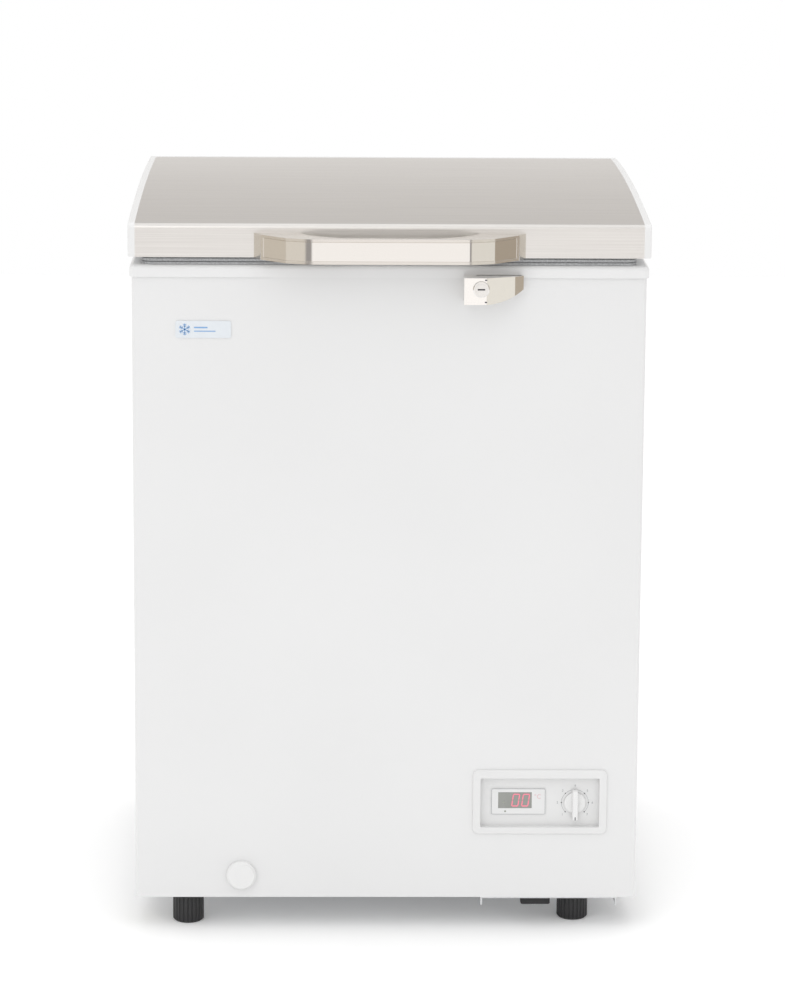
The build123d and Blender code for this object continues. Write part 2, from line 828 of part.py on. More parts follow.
def make_lock():
    """Housing with its slot, the fixed ring, the plug that turns and the hook on its tail."""
    ring_front = cabinet_front - lock_depth - 1.6
    with BuildPart() as lock_escutcheon:
        add(lock_block(0.0, cabinet_front))
        add(lock_block(lock_wall, cabinet_front + 5), mode=Mode.SUBTRACT)
        extrude(flat_rect(wrap_top, 60, 180, collar_front, -200), amount=20, mode=Mode.SUBTRACT)
        extrude(
            front_circle(cabinet_front, plug_x, plug_z, lock_ring + cap_gap),
            amount=60,
            mode=Mode.SUBTRACT,
        )
        extrude(
            flat_rect(lock_top - 4, plug_x - 5, lock_right - 2.6, hook_y - 1, hook_y + hook_sheet + 1),
            amount=10,
            mode=Mode.SUBTRACT,
        )
    lock_escutcheon.part.label = "lock_escutcheon"
    export_step(lock_escutcheon.part, "parts/lock_escutcheon.step")
    with BuildPart() as lock_barrel:
        extrude(front_circle(hook_y - 3, plug_x, plug_z, lock_ring), amount=hook_y - 3 - ring_front)
        chamfer(lock_barrel.faces().sort_by(Axis.Y)[0].edges(), 0.8)
        extrude(
            front_circle(-200, plug_x, plug_z, plug_radius + running_gap), amount=80, mode=Mode.SUBTRACT
        )
    lock_barrel.part.label = "lock_barrel"
    export_step(lock_barrel.part, "parts/lock_barrel.step")
    with BuildPart() as lock_plug:
        extrude(front_circle(hook_y, plug_x, plug_z, plug_radius), amount=hook_y - ring_front + 0.4)
        extrude(front_circle(hook_y + hook_sheet, plug_x, plug_z, 3.0), amount=hook_sheet)
        extrude(front_rect(ring_front + 4, plug_x, plug_z, 8.5, 1.8), amount=10, mode=Mode.SUBTRACT)
    lock_plug.part.label = "lock_plug"
    export_step(lock_plug.part, "parts/lock_plug.step")
    make_lock_hook()


def make_lock_hook():
    """Flat cam: an arm with a short claw that curves round the plug's axis."""
    low, rise, tip = radians(-4), radians(3), radians(14)
    middle = (low + tip) / 2

    def at(radius, angle):
        return (plug_x + radius * cos(angle), plug_z + radius * sin(angle))

    with BuildPart() as lock_hook:
        with BuildSketch(front_plane(hook_y + hook_sheet)):
            with BuildLine():
                Line((plug_x, plug_z - 3), at(hook_outer, low))
                ThreePointArc(at(hook_outer, low), at(hook_outer, middle), at(hook_outer, tip))
                Line(at(hook_outer, tip), at(hook_inner, tip))
                ThreePointArc(at(hook_inner, tip), at(hook_inner, (rise + tip) / 2), at(hook_inner, rise))
                Polyline(at(hook_inner, rise), (plug_x, plug_z + 3), (plug_x, plug_z - 3))
            make_face()
            with Locations((plug_x, plug_z)):
                Circle(6.0)
                Circle(3.0, mode=Mode.SUBTRACT)
        extrude(amount=hook_sheet)
    lock_hook.part.label = "lock_hook"
    export_step(lock_hook.part, "parts/lock_hook.step")


def make_hinges():
    """Bases with their pins, leaves on the lid, springs and screws."""
    for side, x in zip(("left", "right"), hinge_places):
        with BuildPart() as base:
            extrude(front_rect(cabinet_back + 2, x, 716, 68, 110, 4), amount=hinge_sheet)
            extrude(
                flat_rect(661, x - hinge_half, x + hinge_half, cabinet_back + 2, hinge_back),
                amount=109,
            )
            extrude(
                flat_rect(663, x - hinge_half + 2, x + hinge_half - 2, cabinet_back + 2, hinge_back - 2),
                amount=120,
                mode=Mode.SUBTRACT,
            )
            for ear in (x - hinge_half, x + hinge_half - 2):
                with BuildSketch(Plane.YZ.offset(ear)):
                    with BuildLine():
                        Polyline((cabinet_back + 2, 760), (cabinet_back + 2, axis_z))
                        Line((axis_y + 7, axis_z), (axis_y + 7, 760))
                        Line((axis_y + 7, 760), (cabinet_back + 2, 760))
                        ThreePointArc(
                            (cabinet_back + 2, axis_z), (axis_y - 0.25, axis_z + 7), (axis_y + 7, axis_z)
                        )
                    make_face()
                extrude(amount=2)
            with BuildSketch(Plane.YZ.offset(x - hinge_half - 1)):
                with Locations((axis_y, axis_z)):
                    Circle(pin_radius)
            extrude(amount=2 * hinge_half + 2)
            for dx in (-base_screw_x, base_screw_x):
                for z in base_screw_heights:
                    extrude(
                        front_circle(cabinet_back + 5, x + dx, z, base_screw_radius + screw_gap),
                        amount=10,
                        mode=Mode.SUBTRACT,
                    )
        base.part.label = f"hinge_base_{side}"
        export_step(base.part, f"parts/hinge_base_{side}.step")
        with BuildPart() as leaf:
            extrude(front_rect(lid_back + 2, x, 815, 2 * leaf_half, 34), amount=2)
            with BuildSketch(Plane.YZ.offset(x - leaf_half)):
                with BuildLine():
                    Polyline(
                        (lid_back, 798),
                        (lid_back, 832),
                        (lid_back + 2, 832),
                        (lid_back + 2, 806),
                        (axis_y, axis_z + 6),
                    )
                    ThreePointArc((axis_y, axis_z + 6), (axis_y + 6, axis_z), (axis_y, axis_z - 6))
                    Polyline((axis_y, axis_z - 6), (axis_y - 4, axis_z - 5), (lid_back, 798))
                make_face()
            extrude(amount=2 * leaf_half)
            with BuildSketch(Plane.YZ.offset(x - leaf_half - 2)):
                with Locations((axis_y, axis_z)):
                    Circle(pin_radius + running_gap)
            extrude(amount=2 * leaf_half + 4, mode=Mode.SUBTRACT)
            for z in leaf_screw_heights:
                for dx in (-leaf_screw_x, leaf_screw_x):
                    extrude(
                        front_circle(lid_back + 20, x + dx, z, leaf_screw_radius + screw_gap),
                        amount=30,
                        mode=Mode.SUBTRACT,
                    )
        leaf.part.label = f"hinge_leaf_{side}"
        export_step(leaf.part, f"parts/hinge_leaf_{side}.step")


def make_hinge_springs():
    """Counterbalance springs inside the hinge bases."""
    with BuildPart() as hinge_springs:
        for x in hinge_places:
            with BuildLine(Plane.XY) as coil:
                Helix(pitch=9, height=81, radius=6, center=(x, 278.5, 667))
            with BuildSketch(Plane(origin=coil.line @ 0, z_dir=coil.line % 0)):
                Circle(1.2)
            sweep(path=coil.line, is_frenet=True)
    hinge_springs.part.label = "hinge_springs"
    export_step(hinge_springs.part, "parts/hinge_springs.step")


def make_screws():
    """Screws of the hinge bases, the leaves and the handle, one group of each."""
    with BuildPart() as hinge_base_screws:
        for x, z in hinge_screw_spots():
            extrude(front_circle(cabinet_back + 2, x, z, base_screw_radius), amount=14)
            extrude(front_circle(cabinet_back + 4.5, x, z, 4.0), amount=2.5)
    hinge_base_screws.part.label = "hinge_base_screws"
    export_step(hinge_base_screws.part, "parts/hinge_base_screws.step")
    with BuildPart() as hinge_leaf_screws:
        for x in hinge_places:
            for dx in (-leaf_screw_x, leaf_screw_x):
                for z in leaf_screw_heights:
                    extrude(front_circle(lid_back + 2, x + dx, z, leaf_screw_radius), amount=9)
                    extrude(front_circle(lid_back + 4, x + dx, z, 3.4), amount=2)
    hinge_leaf_screws.part.label = "hinge_leaf_screws"
    export_step(hinge_leaf_screws.part, "parts/hinge_leaf_screws.step")
    with BuildPart() as handle_screws:
        for x in (-handle_screw_x, handle_screw_x):
            extrude(front_circle(lid_front + skin + 3.5, x, handle_screw_z, 4.5), amount=3.5)
            extrude(front_circle(lid_front + skin, x, handle_screw_z, 2.5), amount=20)
    handle_screws.part.label = "handle_screws"
    export_step(handle_screws.part, "parts/handle_screws.step")


def make_lid_skin():
    """Brushed sheet over the top, bent down over the front and hemmed under it."""
    with BuildPart() as lid_skin:
        extrude(lid_profile(-skin_half, 0.0, trim_front, lid_bottom), amount=2 * skin_half)
        extrude(
            lid_profile(-skin_half - 1, skin, trim_front + 5, lid_bottom + skin),
            amount=2 * skin_half + 2,
            mode=Mode.SUBTRACT,
        )
        extrude(
            flat_rect(lid_bottom - 1, -300, 300, lid_front + hem_depth, lid_back + 5),
            amount=3,
            mode=Mode.SUBTRACT,
        )
        extrude(
            flat_rect(lid_bottom - 1, slot_left, slot_right, lid_front + skin, lid_front + 5.5),
            amount=3,
            mode=Mode.SUBTRACT,
        )
        for x in (-handle_screw_x, handle_screw_x):
            extrude(
                front_circle(lid_front + 5, x, handle_screw_z, 2.5 + screw_gap),
                amount=10,
                mode=Mode.SUBTRACT,
            )
    lid_skin.part.label = "lid_skin"
    export_step(lid_skin.part, "parts/lid_skin.step")


def make_lid_caps():
    """Plastic end caps with the lid's full outline."""
    for side, x in (("left", -lid_width / 2), ("right", skin_half)):
        with BuildPart() as cap:
            extrude(lid_profile(x, 0.0, lid_back, lid_bottom), amount=cap_width)
            outside = cap.faces().sort_by(Axis.X)[0 if side == "left" else -1]
            chamfer(outside.edges(), cap_edge)
        cap.part.label = f"lid_cap_{side}"
        export_step(cap.part, f"parts/lid_cap_{side}.step")


def make_lid_rear_trim():
    """Rail along the back edge of the lid, hollow towards the foam."""
    with BuildPart() as lid_rear_trim:
        extrude(lid_profile(-skin_half, 0.0, lid_back, lid_bottom), amount=2 * skin_half)
        extrude(flat_rect(lid_bottom - 5, -300, 300, -300, trim_front), amount=100, mode=Mode.SUBTRACT)
        extrude(
            flat_rect(
                lid_bottom + trim_wall, 4 - skin_half, skin_half - 4, trim_front - 5, lid_back - trim_wall
            ),
            amount=42,
            mode=Mode.SUBTRACT,
        )
        for x in hinge_places:
            for dx in (-leaf_screw_x, leaf_screw_x):
                for z in leaf_screw_heights:
                    extrude(
                        front_circle(lid_back + 5, x + dx, z, leaf_screw_radius + screw_gap),
                        amount=15,
                        mode=Mode.SUBTRACT,
                    )
    lid_rear_trim.part.label = "lid_rear_trim"
    export_step(lid_rear_trim.part, "parts/lid_rear_trim.step")


def bulge(inset, bottom):
    """The downward bulge of the lid's inner panel as a solid, with sloping sides."""
    half = 215 - inset
    with BuildPart() as block:
        with BuildSketch(Plane.XY.offset(lid_bottom + panel_sheet)):
            with Locations((0, 18)):
                RectangleRounded(2 * half, 336 - 2 * inset, 24 - inset)
        extrude(amount=-(lid_bottom + panel_sheet - bottom), taper=20)
    return block.part


def make_lid_inner_panel():
    """Plastic panel inside the lid."""
    with BuildPart() as lid_inner_panel:
        extrude(
            flat_rect(lid_bottom, -skin_half, skin_half, striker_y, trim_front), amount=panel_sheet
        )
        add(bulge(0.0, bulge_bottom))
        add(bulge(panel_sheet, bulge_bottom + panel_sheet), mode=Mode.SUBTRACT)
    lid_inner_panel.part.label = "lid_inner_panel"
    export_step(lid_inner_panel.part, "parts/lid_inner_panel.step")


def make_lid_foam():
    """Foam inside the lid, with pockets for the handle's screws and for the lock."""
    with BuildPart() as lid_foam:
        extrude(lid_profile(-skin_half, skin, trim_front, lid_bottom + skin), amount=2 * skin_half)
        extrude(
            flat_rect(lid_bottom, -300, 300, striker_y, lid_back), amount=panel_sheet, mode=Mode.SUBTRACT
        )
        add(bulge(panel_sheet, bulge_bottom + panel_sheet))
        for x in (-handle_screw_x, handle_screw_x):
            extrude(front_circle(lid_front + 14, x, handle_screw_z, 6.0), amount=14, mode=Mode.SUBTRACT)
        extrude(
            flat_rect(lid_bottom - 5, striker_left, striker_right, lid_front, striker_y),
            amount=18,
            mode=Mode.SUBTRACT,
        )
    lid_foam.part.label = "lid_foam"
    export_step(lid_foam.part, "parts/lid_foam.step")


def make_lock_striker():
    """Strap inside the lid's front edge that the hook reaches over."""
    with BuildPart() as lock_striker:
        extrude(
            flat_rect(lid_bottom + skin, striker_left, striker_right, lid_front + skin, striker_y), amount=2
        )
        extrude(
            flat_rect(lid_bottom, slot_left, slot_right, lid_front + skin, lid_front + 5.5),
            amount=5,
            mode=Mode.SUBTRACT,
        )
        extrude(
            flat_rect(lid_bottom + skin, striker_left, striker_right, striker_y - 1.5, striker_y), amount=11
        )
    lock_striker.part.label = "lock_striker"
    export_step(lock_striker.part, "parts/lock_striker.step")


def make_lid_gasket():
    """Double-lip gasket: levels of bottom, height, inset of the outer face and width."""
    length, depth, corner = 563.0, 483.0, 12.0
    levels = [
        (787.2, 2.6, 0.8, 13.0),
        (789.8, 1.2, 3.0, 8.0),
        (791.0, 2.8, 0.0, 14.5),
        (793.8, 1.2, 2.6, 9.0),
        (795.0, 2.0, 1.2, 12.5),
    ]
    with BuildPart() as lid_gasket:
        for bottom, height, inset, width in levels:
            with BuildSketch(Plane.XY.offset(bottom)):
                with Locations((0, 9.5)):
                    RectangleRounded(length - 2 * inset, depth - 2 * inset, corner - inset)
                    RectangleRounded(
                        length - 2 * (inset + width), depth - 2 * (inset + width), 4, mode=Mode.SUBTRACT
                    )
            extrude(amount=height)
    lid_gasket.part.label = "lid_gasket"
    export_step(lid_gasket.part, "parts/lid_gasket.step")


def handle_outline(z, inset):
    """Outline of the handle from above: sloping ends, facets and a flat front."""
    right = [(x, lid_front - reach) for x, reach in handle_points]
    left = [(-x, y) for x, y in reversed(right)]
    with BuildSketch(Plane.XY.offset(z)) as outline:
        with BuildLine():
            Polyline(*right, *left, close=True)
        make_face()
        fillet(outline.vertices().filter_by(lambda v: v.Y < lid_front - 5), 18)
        if inset:
            offset(amount=-inset, mode=Mode.REPLACE)
    return outline.sketch


def make_handle():
    """Handle with its finger opening, and the polished band let into its front."""
    height = handle_top - handle_bottom
    right = [(x, lid_front - reach) for x, reach in handle_hole]
    left = [(-x, y) for x, y in reversed(right)]
    middle_z = (handle_top + handle_bottom) / 2
    band_height = height - 2 * band_margin
    with BuildPart() as handle_body:
        extrude(handle_outline(handle_bottom, 0.0), amount=height)
        with BuildSketch(Plane.XY.offset(handle_bottom - 1)) as hole:
            with BuildLine():
                Polyline((101, lid_front + 5), *right, *left, (-101, lid_front + 5), close=True)
            make_face()
            fillet(hole.vertices().filter_by(lambda v: v.Y < lid_front - 5), 22)
        extrude(amount=height + 2, mode=Mode.SUBTRACT)
        edges = handle_body.edges().filter_by(lambda e: e.center().Y < lid_front - 1)
        fillet(edges.filter_by(lambda e: abs(e.center().Z - middle_z) > 10), 1.0)
        add(handle_band(1.2, band_half + 1, band_height), mode=Mode.SUBTRACT)
        for x in (-handle_screw_x, handle_screw_x):
            extrude(front_circle(lid_front + 1, x, handle_screw_z, 2.5), amount=20.2, mode=Mode.SUBTRACT)
    handle_body.part.label = "handle_body"
    export_step(handle_body.part, "parts/handle_body.step")
    with BuildPart() as band:
        add(handle_band(1.2, band_half + 1, band_height))
        extrude(handle_outline(handle_bottom, 0.3), amount=height, mode=Mode.INTERSECT)
    band.part.label = "handle_band"
    export_step(band.part, "parts/handle_band.step")


def handle_band(depth, half, height):
    """The front layer of the handle, between the band's ends and edges."""
    middle_z = (handle_top + handle_bottom) / 2
    with BuildPart() as layer:
        extrude(handle_outline(handle_bottom, 0.0), amount=handle_top - handle_bottom)
        extrude(handle_outline(handle_bottom, depth), amount=handle_top - handle_bottom, mode=Mode.SUBTRACT)
        extrude(front_rect(lid_front - 8, 0, middle_z, 2 * half, height, 3), amount=60, mode=Mode.INTERSECT)
    return layer.part


def make_feet():
    """Front feet: knurled pads, their threaded studs and the inserts; and the plain rear feet."""
    for side, (x, y, under) in (("left", foot_left), ("right", foot_right)):
        with BuildPart() as pad:
            with BuildSketch():
                with Locations((x, y)):
                    Circle(foot_radius)
            extrude(amount=under - 3.3)
            chamfer(pad.faces().sort_by(Axis.Z)[0].edges(), 2)
            with BuildSketch():
                with Locations((x, y)):
                    with PolarLocations(foot_radius, knurls):
                        Circle(1.1)
            extrude(amount=under, mode=Mode.SUBTRACT)
            with BuildSketch(Plane.XY.offset(8)):
                with Locations((x, y)):
                    Circle(stud_radius + running_gap)
            extrude(amount=40, mode=Mode.SUBTRACT)
        pad.part.label = f"foot_pad_{side}"
        export_step(pad.part, f"parts/foot_pad_{side}.step")
        with BuildPart() as stud:
            with BuildSketch(Plane.XY.offset(8)):
                with Locations((x, y)):
                    Circle(stud_radius)
            extrude(amount=48)
            chamfer(stud.faces().sort_by(Axis.Z)[-1].edges(), 1)
        stud.part.label = f"foot_stud_{side}"
        export_step(stud.part, f"parts/foot_stud_{side}.step")
    with BuildPart() as foot_inserts:
        for x, y, under in (foot_left, foot_right):
            with BuildSketch(Plane.XY.offset(under - 3)):
                with Locations((x, y)):
                    Circle(14.0)
            extrude(amount=3)
            with BuildSketch(Plane.XY.offset(under)):
                with Locations((x, y)):
                    Circle(7.0)
            extrude(amount=60 - under)
            with BuildSketch(Plane.XY.offset(under - 5)):
                with Locations((x, y)):
                    Circle(stud_radius + running_gap)
            extrude(amount=60, mode=Mode.SUBTRACT)
    foot_inserts.part.label = "foot_inserts"
    export_step(foot_inserts.part, "parts/foot_inserts.step")
    with BuildPart() as rear_feet:
        for x, under in ((foot_left[0], 37.0), (foot_right[0], 35.0)):
            with BuildSketch():
                with Locations((x, 225)):
                    Circle(17)
            extrude(amount=under)
        chamfer(rear_feet.faces().group_by(Axis.Z)[0].edges(), 2)
    rear_feet.part.label = "rear_feet"
    export_step(rear_feet.part, "parts/rear_feet.step")


def make_basket():
    """Basket that hangs on the ledges, and the wire frame round its rim."""
    rim_z = ledge_height + 0.2 + basket_wire
    top = rim_z - basket_wire + 0.6
    left, right = basket_x - basket_half, basket_x + basket_half
    front, back = liner_front + 8, liner_back - 8
    wire_front, wire_back = liner_front - 6, liner_back + 6
    half = basket_half - 1.5
    loop = flat_rect(rim_z, basket_x - half, basket_x + half, wire_front, wire_back, 12).wires()[0]
    with BuildPart() as basket_rim:
        with BuildSketch(Plane(origin=(basket_x, wire_front, rim_z), z_dir=(1, 0, 0))):
            Circle(basket_wire)
        sweep(path=loop)
    with BuildPart() as basket:
        extrude(
            flat_rect(basket_bottom, left, right, front, back, basket_corner), amount=top - basket_bottom
        )
        extrude(
            flat_rect(
                basket_bottom + basket_wall,
                left + basket_wall,
                right - basket_wall,
                front + basket_wall,
                back - basket_wall,
                basket_corner - basket_wall,
            ),
            amount=top,
            mode=Mode.SUBTRACT,
        )
        add(basket_rim.part, mode=Mode.SUBTRACT)
    basket.part.label = "basket"
    export_step(basket.part, "parts/basket.step")
    basket_rim.part.label = "basket_rim"
    export_step(basket_rim.part, "parts/basket_rim.step")


make_outer_wrap()
make_back_panel()
make_bottom_panel()
make_foam()
make_inner_liner()
make_top_collar()
make_evaporator_coil()
make_condenser_coil()
make_compressor()
make_compressor_mounts()
make_start_relay()
make_filter_drier()
make_suction_pipe()
make_base_plate()
make_rubber_block()
make_rear_grille()
make_cable_gland()
make_control_bezel()
make_control_plate()
make_thermometer()
make_thermostat()
make_drain()
make_badge_plate()
make_lock()
make_hinges()
make_hinge_springs()
make_screws()
make_lid_skin()
make_lid_caps()
make_lid_rear_trim()
make_lid_inner_panel()
make_lid_foam()
make_lock_striker()
make_lid_gasket()
make_handle()
make_feet()
make_basket()
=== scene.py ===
# %% [markdown]
# A small chest freezer: a white powder-coated cabinet, a crowned lid faced with brushed steel, a bright
# handle and lock, and a control panel low on the right. The solid model is loaded as a fixed frame, so
# every new piece takes its place from the boxes of that frame's nodes, in metres.

# %% Load the frame
import math

import bpy
from mathutils import Matrix, Vector


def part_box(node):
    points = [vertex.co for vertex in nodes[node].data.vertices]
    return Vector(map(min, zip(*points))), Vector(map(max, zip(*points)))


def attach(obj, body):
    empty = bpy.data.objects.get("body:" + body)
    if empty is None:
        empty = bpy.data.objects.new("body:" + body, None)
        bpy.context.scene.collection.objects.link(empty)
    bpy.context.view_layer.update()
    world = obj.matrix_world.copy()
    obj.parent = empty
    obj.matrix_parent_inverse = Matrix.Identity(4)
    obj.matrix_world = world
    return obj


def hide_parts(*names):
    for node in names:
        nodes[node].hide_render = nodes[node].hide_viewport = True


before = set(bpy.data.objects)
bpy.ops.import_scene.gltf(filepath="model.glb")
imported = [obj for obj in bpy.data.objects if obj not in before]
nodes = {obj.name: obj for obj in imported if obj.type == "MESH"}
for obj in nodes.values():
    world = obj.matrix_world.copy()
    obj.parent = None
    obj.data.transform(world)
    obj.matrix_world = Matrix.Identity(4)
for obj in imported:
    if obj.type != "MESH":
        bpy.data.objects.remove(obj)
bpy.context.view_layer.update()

# %% [markdown]
# The camera stands a long way in front of the freezer and a little above its lid, as for a catalogue. It
# could be aimed with a constraint, but three angles and a place are exact and easy to read. A long lens
# keeps the sides nearly parallel, and a small lens shift keeps the cabinet's upright edges from leaning.

# %% Camera
scene = bpy.context.scene
camera_data = bpy.data.cameras.new("catalogue_camera")
camera = bpy.data.objects.new("catalogue_camera", camera_data)
scene.collection.objects.link(camera)
scene.camera = camera
camera_place = (-0.0660, -4.0892, 1.4058)
yaw, pitch, roll = (math.radians(angle) for angle in (-1.037, -10.523, -0.359))
turn = Matrix.Rotation(yaw, 3, "Z") @ Matrix.Rotation(pitch, 3, "X") @ Matrix.Rotation(roll, 3, "Y")
right, ahead, up = (turn @ Vector(axis) for axis in ((1, 0, 0), (0, 1, 0), (0, 0, 1)))
camera_axes = Matrix((right, up, -ahead)).transposed().to_4x4()
camera.matrix_world = Matrix.Translation(camera_place) @ camera_axes
camera_data.sensor_width = 36.0
camera_data.lens = 124.1
camera_data.shift_y = -0.15
camera_data.clip_end = 50.0
print("camera", [round(value, 3) for value in camera.location], "lens", camera_data.lens)

# %% [markdown]
# White goods are shown on a white sweep under large soft lights. A curved backdrop could be modelled, but
# its bend would show in the steel, so the floor is a plain plane that glows a little, just enough for its
# far part to meet the white surroundings without a line while the shadow under the cabinet stays.

# %% Deselect everything before adding anything
def deselect():
    """An operator acts on all that is selected, and the loaded frame arrives selected."""
    if bpy.context.object and bpy.context.object.mode != "OBJECT":
        bpy.ops.object.mode_set(mode="OBJECT")
    bpy.ops.object.select_all(action="DESELECT")


# %% Floor
floor_size, floor_forward = 7.0, 1.0
deselect()
bpy.ops.mesh.primitive_plane_add(size=floor_size, location=(0, floor_forward, 0))
floor = bpy.context.object
floor.name = "studio_floor"
floor_paint = bpy.data.materials.new("floor_paint")
floor_paint.use_nodes = True
floor_shader = floor_paint.node_tree.nodes["Principled BSDF"]
floor_shader.inputs["Base Color"].default_value = (0.93, 0.93, 0.93, 1)
floor_shader.inputs["Roughness"].default_value = 0.6
floor_shader.inputs["Specular IOR Level"].default_value = 0.2
floor_shader.inputs["Emission Color"].default_value = (1, 1, 1, 1)
floor_shader.inputs["Emission Strength"].default_value = 0.10
floor.data.materials.append(floor_paint)
print("floor", floor.name)

# %% [markdown]
# The surroundings do three jobs. The camera sees plain white. Soft light comes from a smooth ramp, brighter
# above than below. Reflections see a room: white straight ahead and darker stretches to the sides, because
# bright metal only looks like metal when it has something to mirror. A panorama image would do the same,
# but a few colour ramps on the direction of the ray need no file.

# %% Surroundings
scene.view_settings.view_transform = "Standard"
world = bpy.data.worlds.new("white_studio")
scene.world = world
world.use_nodes = True
sky = world.node_tree
sky.nodes.clear()


def step_node(kind, source=None, **settings):
    """Adds one node to the surroundings, linked from the last one."""
    node = sky.nodes.new(kind)
    for name, value in settings.items():
        setattr(node, name, value)
    if source:
        sky.links.new(source, node.inputs[0])
    return node


def color_steps(source, stops):
    """A ramp of colours along a value from 0 to 1."""
    ramp = step_node("ShaderNodeValToRGB", source)
    while len(ramp.color_ramp.elements) < len(stops):
        ramp.color_ramp.elements.new(0.5)
    for element, (where, color) in zip(ramp.color_ramp.elements, stops):
        element.position = where
        element.color = (*color, 1)
    return ramp.outputs[0]


spot = step_node("ShaderNodeTexCoord")
split = step_node("ShaderNodeSeparateXYZ", spot.outputs["Generated"])
around = step_node("ShaderNodeMath", split.outputs["X"], operation="ARCTAN2")
ahead_y = step_node("ShaderNodeMath", split.outputs["Y"], operation="MULTIPLY")
ahead_y.inputs[1].default_value = -1.0
sky.links.new(ahead_y.outputs[0], around.inputs[1])
share = step_node("ShaderNodeMath", around.outputs[0], operation="MULTIPLY_ADD")
share.inputs[1].default_value = 0.5 / math.pi
share.inputs[2].default_value = 0.5
print("direction nodes", len(sky.nodes))

# %% [markdown]
# Going round the room, each facet of the handle and of the lock looks a different way, so the stretches are
# laid out by bearing: the flat fronts look at the white, the bends at the dim gaps, the turned facets at the
# tan and the light, and the end facets at the darker brown and dusk.

# %% Round the room
white, dim = (1.03, 1.0, 0.98), (0.36, 0.34, 0.33)
light, dusk = (0.80, 0.77, 0.71), (0.42, 0.36, 0.29)
tan, brown = (0.74, 0.69, 0.62), (0.62, 0.56, 0.48)


def bearing(degrees):
    """Place on the ramp of a direction, in degrees to the right of straight ahead of the freezer."""
    return 0.5 + degrees / 360


room = color_steps(
    share.outputs[0],
    (
        (bearing(-125), white), (bearing(-112), brown), (bearing(-66), brown), (bearing(-58), tan),
        (bearing(-30), tan), (bearing(-24), dim), (bearing(-12), dim), (bearing(-8), white),
        (bearing(12), white), (bearing(15), dim), (bearing(22), dim), (bearing(26), light),
        (bearing(60), light), (bearing(66), dusk), (bearing(112), dusk), (bearing(125), white),
    ),
)
none, full = (0, 0, 0), (1, 1, 1)
band = color_steps(split.outputs["Z"], ((0.0, full), (0.36, full), (0.50, none), (1.0, none)))
behind = color_steps(
    split.outputs["Z"],
    (
        (0.0, (1.0, 0.98, 0.96)), (0.09, (1.0, 0.98, 0.96)), (0.32, (0.54, 0.51, 0.485)),
        (0.6, (0.55, 0.54, 0.53)), (1.0, (0.6, 0.59, 0.58)),
    ),
)
print("room and the wall behind it", len(sky.nodes), "nodes so far")

# %% [markdown]
# The wall behind the freezer is what the lid's crowned top mirrors. It goes from light at the floor to grey
# higher up, which gives the steel its slow change from back to front. The layers are then mixed: ahead or
# behind by the Y of the ray, low or overhead by its Z, and the kind of ray last.


# %% Ahead, behind and overhead
def mix_colors(share_source, first, second):
    """Goes from the first colour to the second as the share goes from 0 to 1."""
    mixer = sky.nodes.new("ShaderNodeMixRGB")
    sky.links.new(share_source, mixer.inputs[0])
    sky.links.new(first, mixer.inputs[1])
    sky.links.new(second, mixer.inputs[2])
    return mixer.outputs[0]


facing = color_steps(split.outputs["Y"], ((0.0, none), (0.25, full)))
plain = step_node("ShaderNodeRGB")
plain.outputs[0].default_value = (1, 1, 1, 1)
above = color_steps(
    split.outputs["Z"], ((0.0, white), (0.50, white), (0.62, (0.62, 0.61, 0.60)), (1.0, (0.58, 0.57, 0.56)))
)
around_room = mix_colors(band, above, room)
whole = mix_colors(facing, around_room, behind)
ray = step_node("ShaderNodeLightPath")
height = step_node("ShaderNodeMath", split.outputs["Z"], operation="MULTIPLY_ADD")
height.inputs[1].default_value = 0.5
height.inputs[2].default_value = 0.5
soft = color_steps(height.outputs[0], ((0.0, (0.62,) * 3), (0.5, (0.96,) * 3), (1.0, (1.08,) * 3)))
seen = mix_colors(ray.outputs["Is Glossy Ray"], soft, whole)
shown = mix_colors(ray.outputs["Is Camera Ray"], seen, plain.outputs[0])
background = step_node("ShaderNodeBackground", shown)
background.inputs[1].default_value = 1.0
world_out = step_node("ShaderNodeOutputWorld")
sky.links.new(background.outputs[0], world_out.inputs[0])
print("surroundings", len(sky.nodes), "nodes")

# %% [markdown]
# Light from all round alone leaves a white box without form. Two large area lights add a gentle direction,
# one from the front left and one from above. They are big and weak, so their shadows have no edge.


# %% Soft panels of light
def soft_panel(name, place, aim, size, power):
    """A large square area light that faces one point."""
    light = bpy.data.lights.new(name, "AREA")
    light.size = size
    light.energy = power
    panel = bpy.data.objects.new(name, light)
    scene.collection.objects.link(panel)
    panel.location = place
    panel.rotation_euler = (Vector(aim) - Vector(place)).to_track_quat("-Z", "Y").to_euler()
    return panel


soft_panel("front_panel", (-1.4, -3.0, 2.8), (0, 0, 0.5), 2.4, 16)
soft_panel("top_panel", (0.3, -0.2, 3.4), (0, 0, 0), 3.2, 14)

# %% [markdown]
# Finishes come next. Each is a node material that reads Object coordinates, so its grain stays on the
# piece when the piece moves, and is the same size on every piece. The small helpers below add the three
# things a real surface has: a colour that varies, a gloss that varies, and a relief.

# %% Helpers for finishes
def new_finish(name, color, roughness, metallic=0.0):
    """A material with one shader; returns it with its node tree and shader."""
    finish = bpy.data.materials.new(name)
    finish.use_nodes = True
    tree = finish.node_tree
    shader = tree.nodes["Principled BSDF"]
    shader.inputs["Base Color"].default_value = (*color, 1)
    shader.inputs["Roughness"].default_value = roughness
    shader.inputs["Metallic"].default_value = metallic
    return finish, tree, shader


